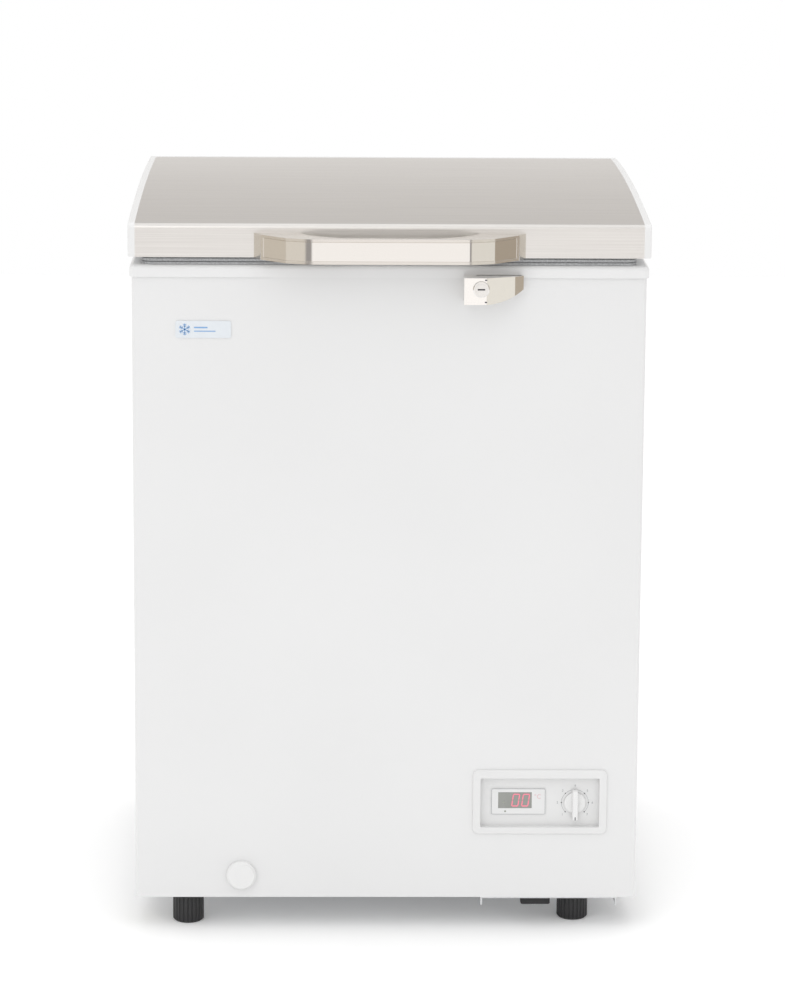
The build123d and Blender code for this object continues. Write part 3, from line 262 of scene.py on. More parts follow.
def grain(tree, scale, detail=3.0, stretch=(1, 1, 1), kind="ShaderNodeTexNoise"):
    """A noise or cell pattern on Object coordinates, stretched along any axis."""
    spot = tree.nodes.new("ShaderNodeTexCoord")
    mapping = tree.nodes.new("ShaderNodeMapping")
    mapping.inputs["Scale"].default_value = stretch
    pattern = tree.nodes.new(kind)
    pattern.inputs["Scale"].default_value = scale
    if "Detail" in pattern.inputs:
        pattern.inputs["Detail"].default_value = detail
    tree.links.new(spot.outputs["Object"], mapping.inputs[0])
    tree.links.new(mapping.outputs[0], pattern.inputs["Vector"])
    return pattern.outputs[0]


def vary_gloss(tree, shader, source, low, high):
    """Roughness runs between two values with the pattern."""
    span = tree.nodes.new("ShaderNodeMapRange")
    span.inputs["From Min"].default_value = 0.3
    span.inputs["From Max"].default_value = 0.7
    span.inputs["To Min"].default_value = low
    span.inputs["To Max"].default_value = high
    tree.links.new(source, span.inputs["Value"])
    tree.links.new(span.outputs[0], shader.inputs["Roughness"])


def vary_color(tree, shader, source, dark, light, start=0.35, end=0.65):
    """Base colour runs between two colours with the pattern."""
    blend = tree.nodes.new("ShaderNodeValToRGB")
    blend.color_ramp.elements[0].position = start
    blend.color_ramp.elements[0].color = (*dark, 1)
    blend.color_ramp.elements[1].position = end
    blend.color_ramp.elements[1].color = (*light, 1)
    tree.links.new(source, blend.inputs[0])
    tree.links.new(blend.outputs[0], shader.inputs["Base Color"])


def relief(tree, shader, source, depth, strength=1.0, under=None):
    """A bump whose height is given in metres; under chains it on another relief."""
    bump = tree.nodes.new("ShaderNodeBump")
    bump.inputs["Distance"].default_value = depth
    bump.inputs["Strength"].default_value = strength
    tree.links.new(source, bump.inputs["Height"])
    if under:
        tree.links.new(under.outputs[0], bump.inputs["Normal"])
    tree.links.new(bump.outputs[0], shader.inputs["Normal"])
    return bump


print("helpers for finishes ready")

# %% [markdown]
# The cabinet is powder-coated sheet: white, softly glossy, with a fine orange peel and a very faint
# waviness from the foam behind it. Two noises give both, the large one under the small one. The collar,
# the lid's caps and the panel are moulded plastic with a finer and duller grain, made by one function
# because they differ only in shade and gloss.

# %% Powder coat
powder_coat, tree, shader = new_finish("powder_coat", (0.735, 0.735, 0.735), 0.36)
shader.inputs["Coat Weight"].default_value = 0.15
shader.inputs["Coat Roughness"].default_value = 0.25
peel = grain(tree, 520.0, 2.0)
wave = grain(tree, 5.0, 1.0)
vary_color(tree, shader, wave, (0.73, 0.73, 0.73), (0.74, 0.74, 0.74))
vary_gloss(tree, shader, peel, 0.33, 0.42)
first = relief(tree, shader, wave, 0.0006, 0.5)
relief(tree, shader, peel, 0.00003, 0.8, first)
print(powder_coat.name)


# %% Moulded white plastics
def moulded(name, color, roughness, scale=900.0, depth=0.00002):
    """White plastic with a spark-eroded grain and slightly uneven gloss."""
    finish, tree, shader = new_finish(name, color, roughness)
    pattern = grain(tree, scale, 2.0)
    cloud = grain(tree, 14.0, 2.0)
    shade = [value * 0.985 for value in color]
    vary_color(tree, shader, cloud, shade, color)
    vary_gloss(tree, shader, pattern, roughness - 0.04, roughness + 0.06)
    relief(tree, shader, pattern, depth, 0.7)
    return finish


collar_plastic = moulded("collar_plastic", (0.76, 0.76, 0.76), 0.32)
cap_plastic = moulded("cap_plastic", (0.76, 0.76, 0.757), 0.36)
panel_plastic = moulded("panel_plastic", (0.735, 0.735, 0.733), 0.34, 1300.0)
knob_plastic = moulded("knob_plastic", (0.77, 0.77, 0.766), 0.28, 1500.0, 0.00001)
drain_plastic = moulded("drain_plastic", (0.70, 0.70, 0.697), 0.45)
basket_coat = moulded("basket_coat", (0.86, 0.87, 0.88), 0.25, 300.0, 0.00004)
print("plastics", 6)

# %% [markdown]
# The lid's top is stainless sheet brushed from side to side. Long thin streaks along X carry its colour,
# its gloss and a very low relief; the streaks are noise squeezed hard across the brushing.

# %% Brushed lid steel
lid_steel, tree, shader = new_finish("lid_steel", (0.83, 0.81, 0.785), 0.34, 1.0)
fine = grain(tree, 1.0, 4.0, (6.0, 2600.0, 2600.0))
long_lines = grain(tree, 1.0, 3.0, (1.2, 420.0, 420.0))
vary_color(tree, shader, fine, (0.75, 0.733, 0.71), (0.91, 0.893, 0.87), 0.25, 0.75)
vary_gloss(tree, shader, long_lines, 0.30, 0.40)
first = relief(tree, shader, long_lines, 0.00001, 0.6)
relief(tree, shader, fine, 0.000012, 0.8, first)
print(lid_steel.name)

# %% [markdown]
# The handle, its inlay and the lock are plated and polished to different degrees. Polish is low roughness
# with very little relief, so these share one function and differ in tint, gloss and depth of grain.


# %% Bright and plain metals
def metal(name, color, rough_low, rough_high, scale, stretch=(1, 1, 1), depth=0.000005):
    """Metal whose gloss and fine relief follow one pattern."""
    finish, tree, shader = new_finish(name, color, rough_low, 1.0)
    pattern = grain(tree, scale, 3.0, stretch)
    tint = [value * 0.97 for value in color]
    vary_color(tree, shader, pattern, tint, color)
    vary_gloss(tree, shader, pattern, rough_low, rough_high)
    relief(tree, shader, pattern, depth, 0.6)
    return finish


handle_metal = metal("handle_metal", (0.80, 0.77, 0.73), 0.14, 0.22, 1.0, (30.0, 900.0, 900.0))
band_metal = metal("band_metal", (0.88, 0.86, 0.83), 0.06, 0.09, 900.0, depth=0.0000015)
lock_metal = metal("lock_metal", (0.97, 0.955, 0.93), 0.08, 0.12, 900.0, depth=0.0000015)
plug_metal = metal("plug_metal", (0.85, 0.84, 0.82), 0.14, 0.22, 400.0)
coil_metal = metal("coil_metal", (0.72, 0.73, 0.74), 0.30, 0.42, 300.0)
copper = metal("copper", (0.72, 0.42, 0.28), 0.24, 0.40, 120.0)
print("metals", 6)

# %% [markdown]
# Brackets, screws and the base plate are galvanised. Zinc sets in flat crystals, which cell noise gives
# directly: each cell has its own shade and its own gloss.

# %% Zinc plate with its spangle
zinc, tree, shader = new_finish("zinc", (0.60, 0.61, 0.62), 0.38, 1.0)
spangle = grain(tree, 160.0, kind="ShaderNodeTexVoronoi")
vary_color(tree, shader, spangle, (0.50, 0.51, 0.525), (0.68, 0.69, 0.70), 0.1, 0.9)
vary_gloss(tree, shader, spangle, 0.30, 0.46)
relief(tree, shader, grain(tree, 700.0), 0.00001, 0.6)
print(zinc.name)

# %% [markdown]
# Inside, the tub is thin sheet pressed with a stucco pattern, and the space between the skins is filled
# with cream-coloured foam. Below are rubber, black plastic and the black paint of the compressor.

# %% Stucco liner and foam
liner_sheet, tree, shader = new_finish("liner_sheet", (0.80, 0.81, 0.82), 0.34, 0.85)
stucco = grain(tree, 150.0, 1.0)
vary_gloss(tree, shader, grain(tree, 40.0), 0.28, 0.40)
vary_color(tree, shader, grain(tree, 6.0), (0.78, 0.79, 0.80), (0.83, 0.84, 0.85))
relief(tree, shader, stucco, 0.0006, 0.7)
foam, tree, shader = new_finish("foam", (0.86, 0.79, 0.58), 0.85)
cells = grain(tree, 420.0, kind="ShaderNodeTexVoronoi")
vary_color(tree, shader, grain(tree, 30.0), (0.80, 0.72, 0.50), (0.88, 0.82, 0.62))
relief(tree, shader, cells, 0.0004, 0.6)
print(liner_sheet.name, foam.name)


# %% Rubbers, black plastic and black paint
def dull(name, color, roughness, scale, depth):
    """A dull non-metal with a visible grain."""
    finish, tree, shader = new_finish(name, color, roughness)
    pattern = grain(tree, scale, 4.0)
    lighter = [value * 1.5 + 0.004 for value in color]
    vary_color(tree, shader, pattern, color, lighter)
    vary_gloss(tree, shader, pattern, roughness - 0.08, roughness + 0.08)
    relief(tree, shader, pattern, depth, 0.7)
    return finish


black_rubber = dull("black_rubber", (0.012, 0.012, 0.013), 0.62, 600.0, 0.00006)
black_plastic = dull("black_plastic", (0.016, 0.016, 0.017), 0.42, 800.0, 0.00003)
black_paint = dull("black_paint", (0.018, 0.018, 0.02), 0.34, 260.0, 0.00005)
gasket_rubber = dull("gasket_rubber", (0.30, 0.305, 0.31), 0.55, 500.0, 0.00003)
print("dull finishes", 4)

# %% [markdown]
# The display's window is tinted clear plastic. The display behind it can't be seen apart from its lit bars,
# so an opaque tint under a glossy coat looks the same as real glass and renders without noise.

# %% Window and badge
window_glass, tree, shader = new_finish("window_glass", (0.27, 0.275, 0.255), 0.16)
shader.inputs["Coat Weight"].default_value = 0.6
shader.inputs["Coat Roughness"].default_value = 0.05
vary_gloss(tree, shader, grain(tree, 200.0), 0.10, 0.16)
vary_color(tree, shader, grain(tree, 90.0), (0.26, 0.265, 0.245), (0.28, 0.285, 0.265))
badge_film, tree, shader = new_finish("badge_film", (0.70, 0.735, 0.77), 0.2)
vary_color(tree, shader, grain(tree, 60.0), (0.69, 0.725, 0.76), (0.71, 0.745, 0.78))
vary_gloss(tree, shader, grain(tree, 300.0), 0.16, 0.26)
print(window_glass.name, badge_film.name)

# %% [markdown]
# Printed marks and lit bars are thin pieces of their own, so each needs only a flat colour. The bars of the
# display glow a little. The dark ink also paints the shade inside the lock's key slot and notches.


# %% Inks
def ink(name, color, glow=0.0):
    """Printed or lit marks, and dark pieces of painted shade: flat colour with a slightly uneven edge of gloss.
    """
    finish, tree, shader = new_finish(name, color, 0.5)
    vary_gloss(tree, shader, grain(tree, 900.0), 0.42, 0.58)
    vary_color(tree, shader, grain(tree, 500.0), [value * 0.94 for value in color], color)
    if glow:
        shader.inputs["Emission Color"].default_value = (*color, 1)
        shader.inputs["Emission Strength"].default_value = glow
    return finish


grey_ink = ink("grey_ink", (0.36, 0.37, 0.38))
# The dark ink is print on the dial and also painted shade in the lock's key slot and notches.
dark_ink_and_painted_shade = ink("dark_ink_and_painted_shade", (0.10, 0.10, 0.11))
blue_ink = ink("blue_ink", (0.22, 0.40, 0.68))
red_light = ink("red_light", (0.76, 0.20, 0.27), 0.28)
pink_ink = ink("pink_ink", (0.72, 0.50, 0.53))
lamp_ink = ink("lamp_ink", (0.30, 0.32, 0.27))
print("inks", 6)

# %% [markdown]
# Every piece of the solid model now gets its finish, by name. A table keeps the whole choice in one view
# and shows at once when a piece has been forgotten.

# %% Give every node of the frame its finish
finish_of = {
    "outer_wrap": powder_coat, "back_panel": powder_coat, "rear_grille": powder_coat,
    "bottom_panel": zinc, "base_plate": zinc, "foam_insulation": foam, "lid_foam": foam,
    "inner_liner": liner_sheet, "top_collar": collar_plastic, "evaporator_coil": coil_metal,
    "condenser_coil": copper, "compressor": black_paint, "compressor_mounts": black_rubber,
    "start_relay": black_plastic, "filter_drier": copper, "suction_pipe": copper,
    "rubber_block": black_rubber, "cable_gland": black_plastic, "control_bezel": panel_plastic,
    "control_plate": panel_plastic, "thermometer_case": panel_plastic, "thermometer_window": window_glass,
    "thermostat_body": black_plastic, "thermostat_shaft": zinc, "thermostat_knob": knob_plastic,
    "drain_tube": drain_plastic, "drain_cap": cap_plastic, "drain_plug": drain_plastic,
    "badge_plate": badge_film, "lock_escutcheon": lock_metal, "lock_barrel": plug_metal,
    "lock_plug": plug_metal, "lock_hook": zinc, "lock_striker": zinc, "hinge_base_left": zinc,
    "hinge_base_right": zinc, "hinge_leaf_left": zinc, "hinge_leaf_right": zinc, "hinge_springs": zinc,
    "hinge_base_screws": zinc, "hinge_leaf_screws": zinc, "handle_screws": zinc, "foot_inserts": zinc,
    "foot_stud_left": zinc, "foot_stud_right": zinc, "rear_feet": black_plastic, "foot_pad_left": black_plastic,
    "foot_pad_right": black_plastic, "lid_skin": lid_steel, "lid_cap_left": cap_plastic,
    "lid_cap_right": cap_plastic, "lid_rear_trim": cap_plastic, "lid_inner_panel": cap_plastic,
    "lid_gasket": gasket_rubber, "handle_body": handle_metal, "handle_band": band_metal,
    "basket": basket_coat, "basket_rim": basket_coat,
}
for name, node in nodes.items():
    for slot in node.material_slots:
        slot.material = finish_of[name]
    if not node.material_slots:
        node.data.materials.append(finish_of[name])
print("finished nodes", len(nodes), "without a finish", set(nodes) - set(finish_of))

# %% [markdown]
# New pieces are shaped as by hand: a primitive is added, a few faces or edges are chosen by where they
# are, and an edit-mode operator pulls, insets or bevels them. Two helpers do the choosing and the starting.

# %% Choose by place
def choose(piece, kind, test):
    """Selects faces (centre, normal), edges (both ends) or vertices (place) that pass the test."""
    deselect()
    bpy.context.view_layer.objects.active = piece
    piece.select_set(True)
    mesh = piece.data
    for group in (mesh.vertices, mesh.edges, mesh.polygons):
        group.foreach_set("select", [False] * len(group))
    bpy.context.tool_settings.mesh_select_mode = (kind == "VERT", kind == "EDGE", kind == "FACE")
    spots = mesh.vertices
    for face in mesh.polygons if kind == "FACE" else ():
        face.select = test(face.center, face.normal)
    for edge in mesh.edges if kind == "EDGE" else ():
        edge.select = test(*(spots[index].co for index in edge.vertices))
    for spot in spots if kind == "VERT" else ():
        spot.select = test(spot.co)
    bpy.ops.object.mode_set(mode="EDIT")


def start_block(name, low, high):
    """A block between two corners, with its place in its mesh."""
    deselect()
    low, high = Vector(low), Vector(high)
    bpy.ops.mesh.primitive_cube_add(size=1.0, location=(low + high) / 2, scale=high - low)
    bpy.ops.object.transform_apply(location=True, rotation=True, scale=True)
    bpy.context.object.name = name
    return bpy.context.object


def near(value, goal, room=0.00002):
    """Whether two measures are the same, within a fiftieth of a millimetre."""
    return abs(value - goal) < room


def complete(piece, finish, body, angle=30):
    """Back to object mode, normals out, smooth across gentle edges, finish on, riding on its body."""
    choose(piece, "FACE", lambda centre, normal: True)
    bpy.ops.mesh.normals_make_consistent(inside=False)
    bpy.ops.object.mode_set(mode="OBJECT")
    bpy.ops.object.shade_smooth_by_angle(angle=math.radians(angle))
    piece.data.materials.clear()
    piece.data.materials.append(finish)
    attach(piece, body)
    print(piece.name, len(piece.data.polygons), "faces")
    return piece


print("helpers for shaping ready")

# %% [markdown]
# The handle is a bent bar: a flat front, a slightly turned facet, a steep facet and a short flange at
# each end, thick at its roots and hollowed for the fingers. It could be a swept outline, but its front and
# its back follow different lines. So it starts as the flat middle, and each end face is pulled out and
# swung along the facets. The places below are half widths across and distances forward of the lid.

# %% Pull the handle's ends out
grip_low, grip_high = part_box("handle_body")
lid_y = grip_high[1]
front_reach, back_reach, half_middle = 0.048, 0.039, 0.055
grip = start_block(
    "handle_grip",
    (-half_middle, lid_y - front_reach, grip_low[2]),
    (half_middle, lid_y - back_reach, grip_high[2]),
)
first_bend = {1: 0.0897, -1: 0.0918}
stations = (
    ((0.117, 0.0395), (0.0925, 0.0147)),
    ((0.146, 0.013), (0.0975, 0.0066)),
    ((0.1535, 0.0), (0.101, 0.0)),
)
for side in (1, -1):
    outer, inner = (half_middle, front_reach), (half_middle, back_reach)
    first_station = ((first_bend[side], front_reach), (0.080, 0.0261))
    for next_outer, next_inner in (first_station, *stations):
        step = next_outer[0] - outer[0]
        middle = side * (outer[0] + inner[0]) / 2
        choose(grip, "FACE", lambda centre, normal: near(centre.x, middle) and normal.x * side > 0.05)
        bpy.ops.mesh.extrude_region_move(TRANSFORM_OT_translate={"value": (side * step, 0, 0)})
        for was, goal in ((outer, next_outer), (inner, next_inner)):
            x, y = side * (was[0] + step), lid_y - was[1]
            choose(grip, "VERT", lambda spot: near(spot.x, x) and near(spot.y, y))
            bpy.ops.transform.translate(value=(side * goal[0] - x, lid_y - goal[1] - y, 0))
        outer, inner = next_outer, next_inner
print("handle outline", len(grip.data.vertices))

# %% [markdown]
# Bent metal has no knife edges, and each bend catches its own line of light. The left front bend is wider
# than the right one. Inside, two generous bevels turn the finger hollow into a smooth curve.

# %% Bevel its bends
bends = (
    (0.0897, 0.0026), (-0.0918, 0.0062),
    (0.117, 0.0016), (-0.117, 0.0016),
    (0.146, 0.0014), (-0.146, 0.0014),
)
for bend_x, size in bends:
    choose(
        grip,
        "EDGE",
        lambda a, b: near(a.x, b.x) and near(a.y, b.y) and near(a.x, bend_x) and a.y < lid_y - 0.01,
    )
    bpy.ops.mesh.bevel(offset=size, segments=3, affect="EDGES")
for bend_x in (half_middle, 0.080):
    choose(
        grip,
        "EDGE",
        lambda a, b: near(a.x, b.x) and near(a.y, b.y) and near(abs(a.x), bend_x) and a.y > lid_y - 0.0395,
    )
    bpy.ops.mesh.bevel(offset=0.011, segments=6, affect="EDGES")
print("handle with its bends", len(grip.data.polygons), "faces")

# %% [markdown]
# A polished band is let into the handle's front, with a hairline groove round it. Insets do this on the
# handle itself: one leaves the rim, one sinks the groove and one brings the band up again. The band is then
# split off and given a thickness, because it is a piece of its own.


# %% Sink the polished band into its front
def on_band(centre, normal):
    """The handle's front faces, without the end flanges."""
    return normal.y < -0.3 and abs(normal.z) < 0.2 and abs(centre.x) < 0.1452 and centre.y < lid_y - 0.014


choose(grip, "FACE", on_band)
for rim, rise in ((0.0030, 0.0), (0.0004, -0.0004), (0.0003, 0.0003)):
    bpy.ops.mesh.inset(thickness=rim, depth=rise, use_boundary=True)
bpy.ops.mesh.separate(type="SELECTED")
bpy.ops.object.mode_set(mode="OBJECT")
inlay = next(item for item in bpy.context.selected_objects if item != grip)
inlay.name = "handle_inlay"
deselect()
bpy.context.view_layer.objects.active = inlay
inlay.select_set(True)
thickness = inlay.modifiers.new("thickness", "SOLIDIFY")
thickness.thickness = 0.0008
thickness.offset = -1.0
bpy.ops.object.modifier_apply(modifier="thickness")
complete(inlay, band_metal, "lid", 20)
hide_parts("handle_band")
complete(grip, handle_metal, "lid", 20)
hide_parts("handle_body")

# %% [markdown]
# The dial is printed on the recessed plate: a thin arc with seven dots and small numbers outside it. It
# could be painted in the plate's material, but thin pieces stay sharp at any distance. The arc is one tiny
# block spun round the shaft, most of the way from its top face and a little from its bottom face.

# %% Dial arc
plate_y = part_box("control_plate")[0][1]
knob_low, knob_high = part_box("thermostat_shaft")
dial_x, dial_z = (knob_low[0] + knob_high[0]) / 2, (knob_low[2] + knob_high[2]) / 2
dial_center, sliver = (dial_x, plate_y, dial_z), 0.00015
arc = start_block(
    "dial_arc",
    (dial_x - 0.0160, plate_y - 0.00012, dial_z - sliver),
    (dial_x - 0.0156, plate_y + 0.0001, dial_z + sliver),
)
choose(arc, "FACE", lambda centre, normal: normal.z > 0.9)
bpy.ops.mesh.spin(steps=60, angle=math.radians(-225), center=dial_center, axis=(0, 1, 0))
choose(
    arc,
    "FACE",
    lambda centre, normal: centre.x < dial_x and normal.z < -0.9 and near(centre.z, dial_z - sliver),
)
bpy.ops.mesh.spin(steps=12, angle=math.radians(45), center=dial_center, axis=(0, 1, 0))
complete(arc, grey_ink, "cabinet")

# %% [markdown]
# The seven dots are one flat disc with a softened rim, copied round the shaft. Each copy is turned in its
# mesh, not as an object, so that the finished piece still sits at the origin.


# %% Dots round the arc
def start_disc(name, x, y, z, radius, depth, sides=20):
    """A flat disc that faces the front, with its rim softened."""
    deselect()
    bpy.ops.mesh.primitive_cylinder_add(
        vertices=sides, radius=radius, depth=depth, location=(x, y, z), rotation=(math.pi / 2, 0, 0)
    )
    bpy.ops.object.transform_apply(location=True, rotation=True, scale=True)
    disc = bpy.context.object
    disc.name = name
    choose(disc, "FACE", lambda centre, normal: normal.y < -0.9)
    bpy.ops.mesh.bevel(offset=min(radius, depth) * 0.3, segments=1, affect="EDGES")
    bpy.ops.object.mode_set(mode="OBJECT")
    return disc


def copy_of(piece, matrix):
    """A copy with a mesh of its own, moved in its mesh."""
    twin = piece.copy()
    twin.data = piece.data.copy()
    twin.data.transform(matrix)
    scene.collection.objects.link(twin)
    return twin


def about(x, y, z, angle):
    """A turn in the front plane about one point, positive to the right of the top."""
    centre = Vector((x, y, z))
    spin = Matrix.Rotation(math.radians(angle), 4, "Y")
    return Matrix.Translation(centre) @ spin @ Matrix.Translation(-centre)


def join(pieces, name):
    """Joins pieces into the first."""
    deselect()
    for piece in pieces:
        piece.select_set(True)
    bpy.context.view_layer.objects.active = pieces[0]
    bpy.ops.object.join()
    pieces[0].name = name
    return pieces[0]


dot = start_disc("dial_dots", dial_x, plate_y - 0.0001, dial_z + 0.0158, 0.00075, 0.00024)
angles = [-135 + 45 * count for count in range(7)]
dots = [copy_of(dot, about(dial_x, plate_y, dial_z, angle)) for angle in angles if angle]
complete(join([dot, *dots], "dial_dots"), dark_ink_and_painted_shade, "cabinet")

# %% [markdown]
# The numbers are text with a hair of thickness. Text becomes a mesh first and is placed after that, so that
# its place ends up in the mesh.


# %% Numbers round the dots
def lettering(name, words, x, y, z, size, depth=0.00012):
    """Flat lettering that faces the front, centred on a point, made a mesh in its place."""
    deselect()
    bpy.ops.object.text_add()
    text = bpy.context.object
    text.name = name
    text.data.body = words
    text.data.size = size
    text.data.extrude = depth / 2
    text.data.align_x = "CENTER"
    text.data.align_y = "CENTER"
    bpy.ops.object.convert(target="MESH")
    text = bpy.context.object
    text.data.transform(Matrix.Translation((x, y, z)) @ Matrix.Rotation(math.pi / 2, 4, "X"))
    return text


numbers, number_radius, number_size = [], 0.0205, 0.0040
for count, angle in enumerate(angles):
    turned = math.radians(angle)
    place_x = dial_x + number_radius * math.sin(turned)
    place_z = dial_z + number_radius * math.cos(turned)
    word = str(count + 1)
    numbers.append(lettering(f"dial_{count}", word, place_x, plate_y - 0.00005, place_z, number_size))
complete(join(numbers, "dial_numbers"), grey_ink, "cabinet")

# %% [markdown]
# The knob is a low disc with a tall grip bar across it, with a small dark mark at the bar's lower end. It
# starts as a block whose top is drawn in a little and whose edges are rounded, over a bevelled disc.

# %% Knob
knob_box_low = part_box("thermostat_knob")[0]
bar = start_block(
    "knob_bar",
    (dial_x - 0.0038, knob_box_low[1], dial_z - 0.0200),
    (dial_x + 0.0038, plate_y - 0.0022, dial_z + 0.0168),
)
choose(bar, "FACE", lambda centre, normal: normal.y < -0.9)
bpy.ops.transform.resize(value=(0.74, 1.0, 0.97))
choose(bar, "EDGE", lambda a, b: near(a.x, b.x, 0.0012) and abs(a.y - b.y) > 0.003)
bpy.ops.mesh.bevel(offset=0.0024, segments=5, affect="EDGES")
choose(bar, "EDGE", lambda a, b: near(a.y, knob_box_low[1]) and near(b.y, knob_box_low[1]))
bpy.ops.mesh.bevel(offset=0.0007, segments=3, affect="EDGES")
bpy.ops.object.mode_set(mode="OBJECT")
skirt = start_disc("thermostat_grip", dial_x, plate_y - 0.0015, dial_z, 0.0126, 0.0014, 64)
choose(skirt, "FACE", lambda centre, normal: normal.y < -0.9)
bpy.ops.mesh.inset(thickness=0.0012, depth=0.0003)
bpy.ops.object.mode_set(mode="OBJECT")
knob = complete(join([skirt, bar], "thermostat_grip"), knob_plastic, "thermostat_knob", 35)
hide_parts("thermostat_knob")
end_mark = start_block(
    "knob_end_mark",
    (dial_x - 0.0006, knob_box_low[1] - 0.00005, dial_z - 0.0190),
    (dial_x + 0.0006, knob_box_low[1] + 0.0002, dial_z - 0.0150),
)
choose(end_mark, "EDGE", lambda a, b: near(a.x, b.x) and near(a.z, b.z))
bpy.ops.mesh.bevel(offset=0.0005, segments=3, affect="EDGES")
complete(end_mark, dark_ink_and_painted_shade, "thermostat_knob")

# %% [markdown]
# The thermometer shows two seven-segment noughts. One segment is a thin bar with pointed ends; copies of
# it, turned and placed, make a digit, and the pair leans forward a little as such digits do.

# %% Seven-segment digits
window_low, window_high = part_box("thermometer_window")
case_low, case_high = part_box("thermometer_case")
digit_y = window_low[1]
digit_high, digit_wide, bar_wide = 0.0142, 0.0072, 0.0014


def segment(name, x, z, length, upright):
    """One pointed bar, level or upright."""
    half, thick = length / 2, bar_wide / 2
    size = (thick, half) if upright else (half, thick)
    piece = start_block(
        name, (x - size[0], digit_y - 0.00012, z - size[1]), (x + size[0], digit_y + 0.0001, z + size[1])
    )
    choose(piece, "EDGE", lambda a, b: near(a.x, b.x) and near(a.z, b.z))
    bpy.ops.mesh.bevel(offset=thick * 0.9, segments=1, affect="EDGES")
    bpy.ops.object.mode_set(mode="OBJECT")
    return piece


bars = []
window_mid = (window_low[2] + window_high[2]) / 2
for digit_x in (window_high[0] - 0.0188, window_high[0] - 0.0072):
    for end in (-1, 1):
        bars.append(segment("level", digit_x, window_mid + end * digit_high / 2, digit_wide, False))
        for side in (-1, 1):
            spot = (digit_x + side * digit_wide / 2, window_mid + end * digit_high / 4)
            bars.append(segment("upright", *spot, digit_high / 2 - 0.0004, True))
digits = join(bars, "thermometer_digits")
lean = Matrix.Identity(4)
lean[0][2] = 0.14
there = Matrix.Translation((0, 0, window_mid))
digits.data.transform(there @ lean @ there.inverted())
complete(digits, red_light, "cabinet")

# %% [markdown]
# Round the window the case has a printed line, a small mark for degrees and two little lamps. The line is a
# rounded block whose front and back are inset and bridged, which leaves only a frame.

# %% Marks round the window
outline = start_block(
    "thermometer_outline",
    (case_low[0] + 0.0002, case_low[1] - 0.0001, case_low[2] + 0.0002),
    (case_high[0] - 0.0002, case_low[1] + 0.0002, case_high[2] - 0.0002),
)
choose(outline, "EDGE", lambda a, b: near(a.x, b.x) and near(a.z, b.z))
bpy.ops.mesh.bevel(offset=0.0016, segments=4, affect="EDGES")
choose(outline, "FACE", lambda centre, normal: abs(normal.y) > 0.9)
bpy.ops.mesh.inset(thickness=0.0005, depth=0.0)
bpy.ops.mesh.bridge_edge_loops()
complete(outline, grey_ink, "cabinet")
degree = lettering("degree_mark", "°C", 0.1768, case_low[1] - 0.00005, 0.1580, 0.0076)
complete(degree, pink_ink, "cabinet")
small = start_disc("small_lamps", 0.1389, case_low[1] - 0.0001, 0.1404, 0.0011, 0.00024)
unlit = start_disc("unlit", 0.1372, digit_y - 0.0001, 0.1513, 0.0012, 0.00024)
complete(join([small, unlit], "small_lamps"), lamp_ink, "cabinet")

# %% [markdown]
# The small plate high on the left carries a generic frost mark: a six-armed snow crystal and two thin
# lines. One arm is modelled and turned round, because a crystal's arms are all alike.

# %% Frost mark
badge_low, badge_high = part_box("badge_plate")
mark_x, mark_z, mark_y = badge_low[0] + 0.0105, (badge_low[2] + badge_high[2]) / 2, badge_low[1]


def stroke(x0, z0, x1, z1, wide):
    """A thin bar with rounded ends between two points on the badge."""
    length = math.hypot(x1 - x0, z1 - z0)
    piece = start_block("stroke", (-length / 2, -0.0001, -wide / 2), (length / 2, 0.0001, wide / 2))
    choose(piece, "EDGE", lambda a, b: near(a.x, b.x) and near(a.z, b.z))
    bpy.ops.mesh.bevel(offset=wide * 0.45, segments=3, affect="EDGES")
    bpy.ops.object.mode_set(mode="OBJECT")
    angle = -math.atan2(z1 - z0, x1 - x0)
    middle = ((x0 + x1) / 2, mark_y - 0.00005, (z0 + z1) / 2)
    piece.data.transform(Matrix.Translation(middle) @ Matrix.Rotation(angle, 4, "Y"))
    return piece


arm = [stroke(mark_x, mark_z, mark_x, mark_z + 0.0068, 0.0010)]
for side in (-1, 1):
    for rise in (0.0030, 0.0048):
        arm.append(stroke(mark_x, mark_z + rise, mark_x + side * 0.0019, mark_z + rise + 0.0014, 0.0007))
arm = join(arm, "frost_mark")
arms = [copy_of(arm, about(mark_x, mark_y, mark_z, 60 * count)) for count in range(1, 6)]
line = stroke(mark_x + 0.0105, mark_z - 0.0020, mark_x + 0.0350, mark_z - 0.0020, 0.0011)
short = stroke(mark_x + 0.0105, mark_z + 0.0022, mark_x + 0.0260, mark_z + 0.0022, 0.0016)
complete(join([arm, *arms, line, short], "frost_mark"), blue_ink, "cabinet")

# %% [markdown]
# The lock's key slot is a dark hole, and the housing has two small notches beside the cylinder. Holes this
# small read as dark marks because shade fills them, so shallow dark pieces paint that shade in their place
# and the housing stays one clean piece.

# %% Painted shade in the key slot and notches
plug_low, plug_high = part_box("lock_plug")
key_x, key_z = (plug_low[0] + plug_high[0]) / 2, (plug_low[2] + plug_high[2]) / 2
slot_half_wide, slot_half_high = 0.0042, 0.0009
# A dark piece inside the plug's key slot paints the shade that fills it.
slot_shade = start_block(
    "key_slot_painted_shade",
    (key_x - slot_half_wide, plug_low[1] + 0.0006, key_z - slot_half_high),
    (key_x + slot_half_wide, plug_low[1] + 0.0035, key_z + slot_half_high),
)
choose(slot_shade, "FACE", lambda centre, normal: normal.y < -0.9)
bpy.ops.mesh.inset(thickness=0.0003, depth=-0.0008)
complete(slot_shade, dark_ink_and_painted_shade, "lock_cylinder")
housing_low, housing_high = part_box("lock_escutcheon")
notch_shades = []
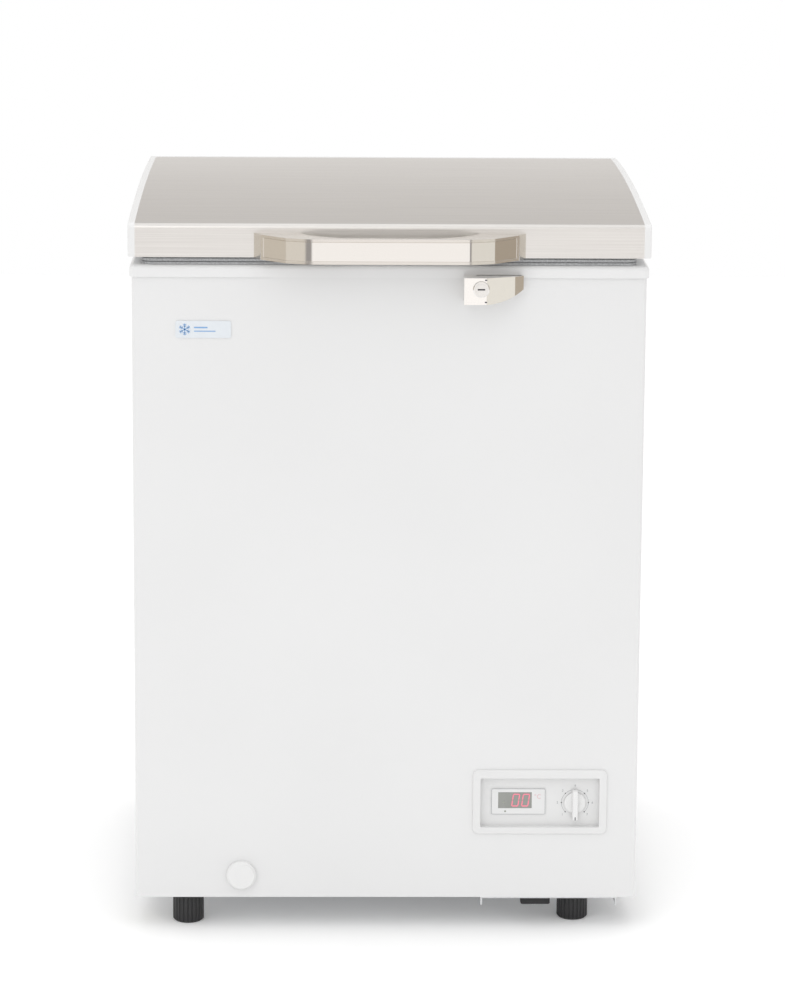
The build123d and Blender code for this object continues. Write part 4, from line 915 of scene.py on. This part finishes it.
# Each dark block paints the shade inside one notch of the housing.
for height in (housing_high[2] - 0.0022, housing_low[2] + 0.0030):
    notch_shade = start_block(
        "notch_shade",
        (0.1068, housing_low[1] - 0.0001, height - 0.0010),
        (0.1096, housing_low[1] + 0.0016, height + 0.0010),
    )
    choose(notch_shade, "FACE", lambda centre, normal: normal.y < -0.9)
    bpy.ops.mesh.bevel(offset=0.0004, segments=2, affect="EDGES")
    bpy.ops.object.mode_set(mode="OBJECT")
    notch_shades.append(notch_shade)
complete(join(notch_shades, "lock_notch_shades"), dark_ink_and_painted_shade, "cabinet")

# %% [markdown]
# The basket is bent wire, dipped in plastic. A wire could be a curve with a thickness, but the same shape
# comes from one small ring of eight sides, pulled down a wall, spun round the bottom corner, pulled across
# the floor and up again, and it is a mesh at once. It is copied along the basket, and the same is done the
# other way.

# %% One bent wire
basket_low, basket_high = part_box("basket")
wire, turn_radius = 0.0016, 0.014


def bent_wire(name, start, end, along, bottom, top):
    """A U of wire across the basket, from rim to rim, in the plane of the given axis (0 for X, 1 for Y)."""
    deselect()
    spot = [0.0, 0.0, top]
    spot[along] = start
    bpy.ops.mesh.primitive_circle_add(vertices=8, radius=wire, fill_type="NGON", location=spot)
    bpy.ops.object.transform_apply(location=True, rotation=True, scale=True)
    piece = bpy.context.object
    piece.name = name
    axis = (0, -1, 0) if along == 0 else (1, 0, 0)
    run = [0.0, 0.0, 0.0]
    run[along] = end - start - 2 * turn_radius
    choose(piece, "FACE", lambda centre, normal: True)
    bpy.ops.mesh.extrude_region_move(TRANSFORM_OT_translate={"value": (0, 0, bottom + turn_radius - top)})
    centre = [0.0, 0.0, bottom + turn_radius]
    centre[along] = start + turn_radius
    bpy.ops.mesh.spin(steps=5, angle=math.pi / 2, center=centre, axis=axis)
    bpy.ops.mesh.extrude_region_move(TRANSFORM_OT_translate={"value": run})
    centre[along] = end - turn_radius
    bpy.ops.mesh.spin(steps=5, angle=math.pi / 2, center=centre, axis=axis)
    bpy.ops.mesh.extrude_region_move(TRANSFORM_OT_translate={"value": (0, 0, top - bottom - turn_radius)})
    bpy.ops.object.mode_set(mode="OBJECT")
    return piece


# %% Weave the basket
left, right = basket_low[0] + wire, basket_high[0] - wire
near_y, far_y = basket_low[1] + wire, basket_high[1] - wire
bottom_z, top_z = basket_low[2] + wire, basket_high[2] - 0.0006
long_count, cross_count = 9, 15
wires = []
long_wire = bent_wire("basket_wires", near_y, far_y, 1, bottom_z + 2 * wire, top_z)
for count in range(long_count):
    shift = left + (right - left) * (count + 1) / (long_count + 1)
    wires.append(copy_of(long_wire, Matrix.Translation((shift, 0, 0))))
bpy.data.objects.remove(long_wire)
cross_wire = bent_wire("cross_wire", left, right, 0, bottom_z, top_z)
for count in range(cross_count):
    shift = near_y + (far_y - near_y) * (count + 1) / (cross_count + 1)
    wires.append(copy_of(cross_wire, Matrix.Translation((0, shift, 0))))
bpy.data.objects.remove(cross_wire)
weave = complete(join(wires, "basket_wires"), basket_coat, "basket", 40)
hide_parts("basket")
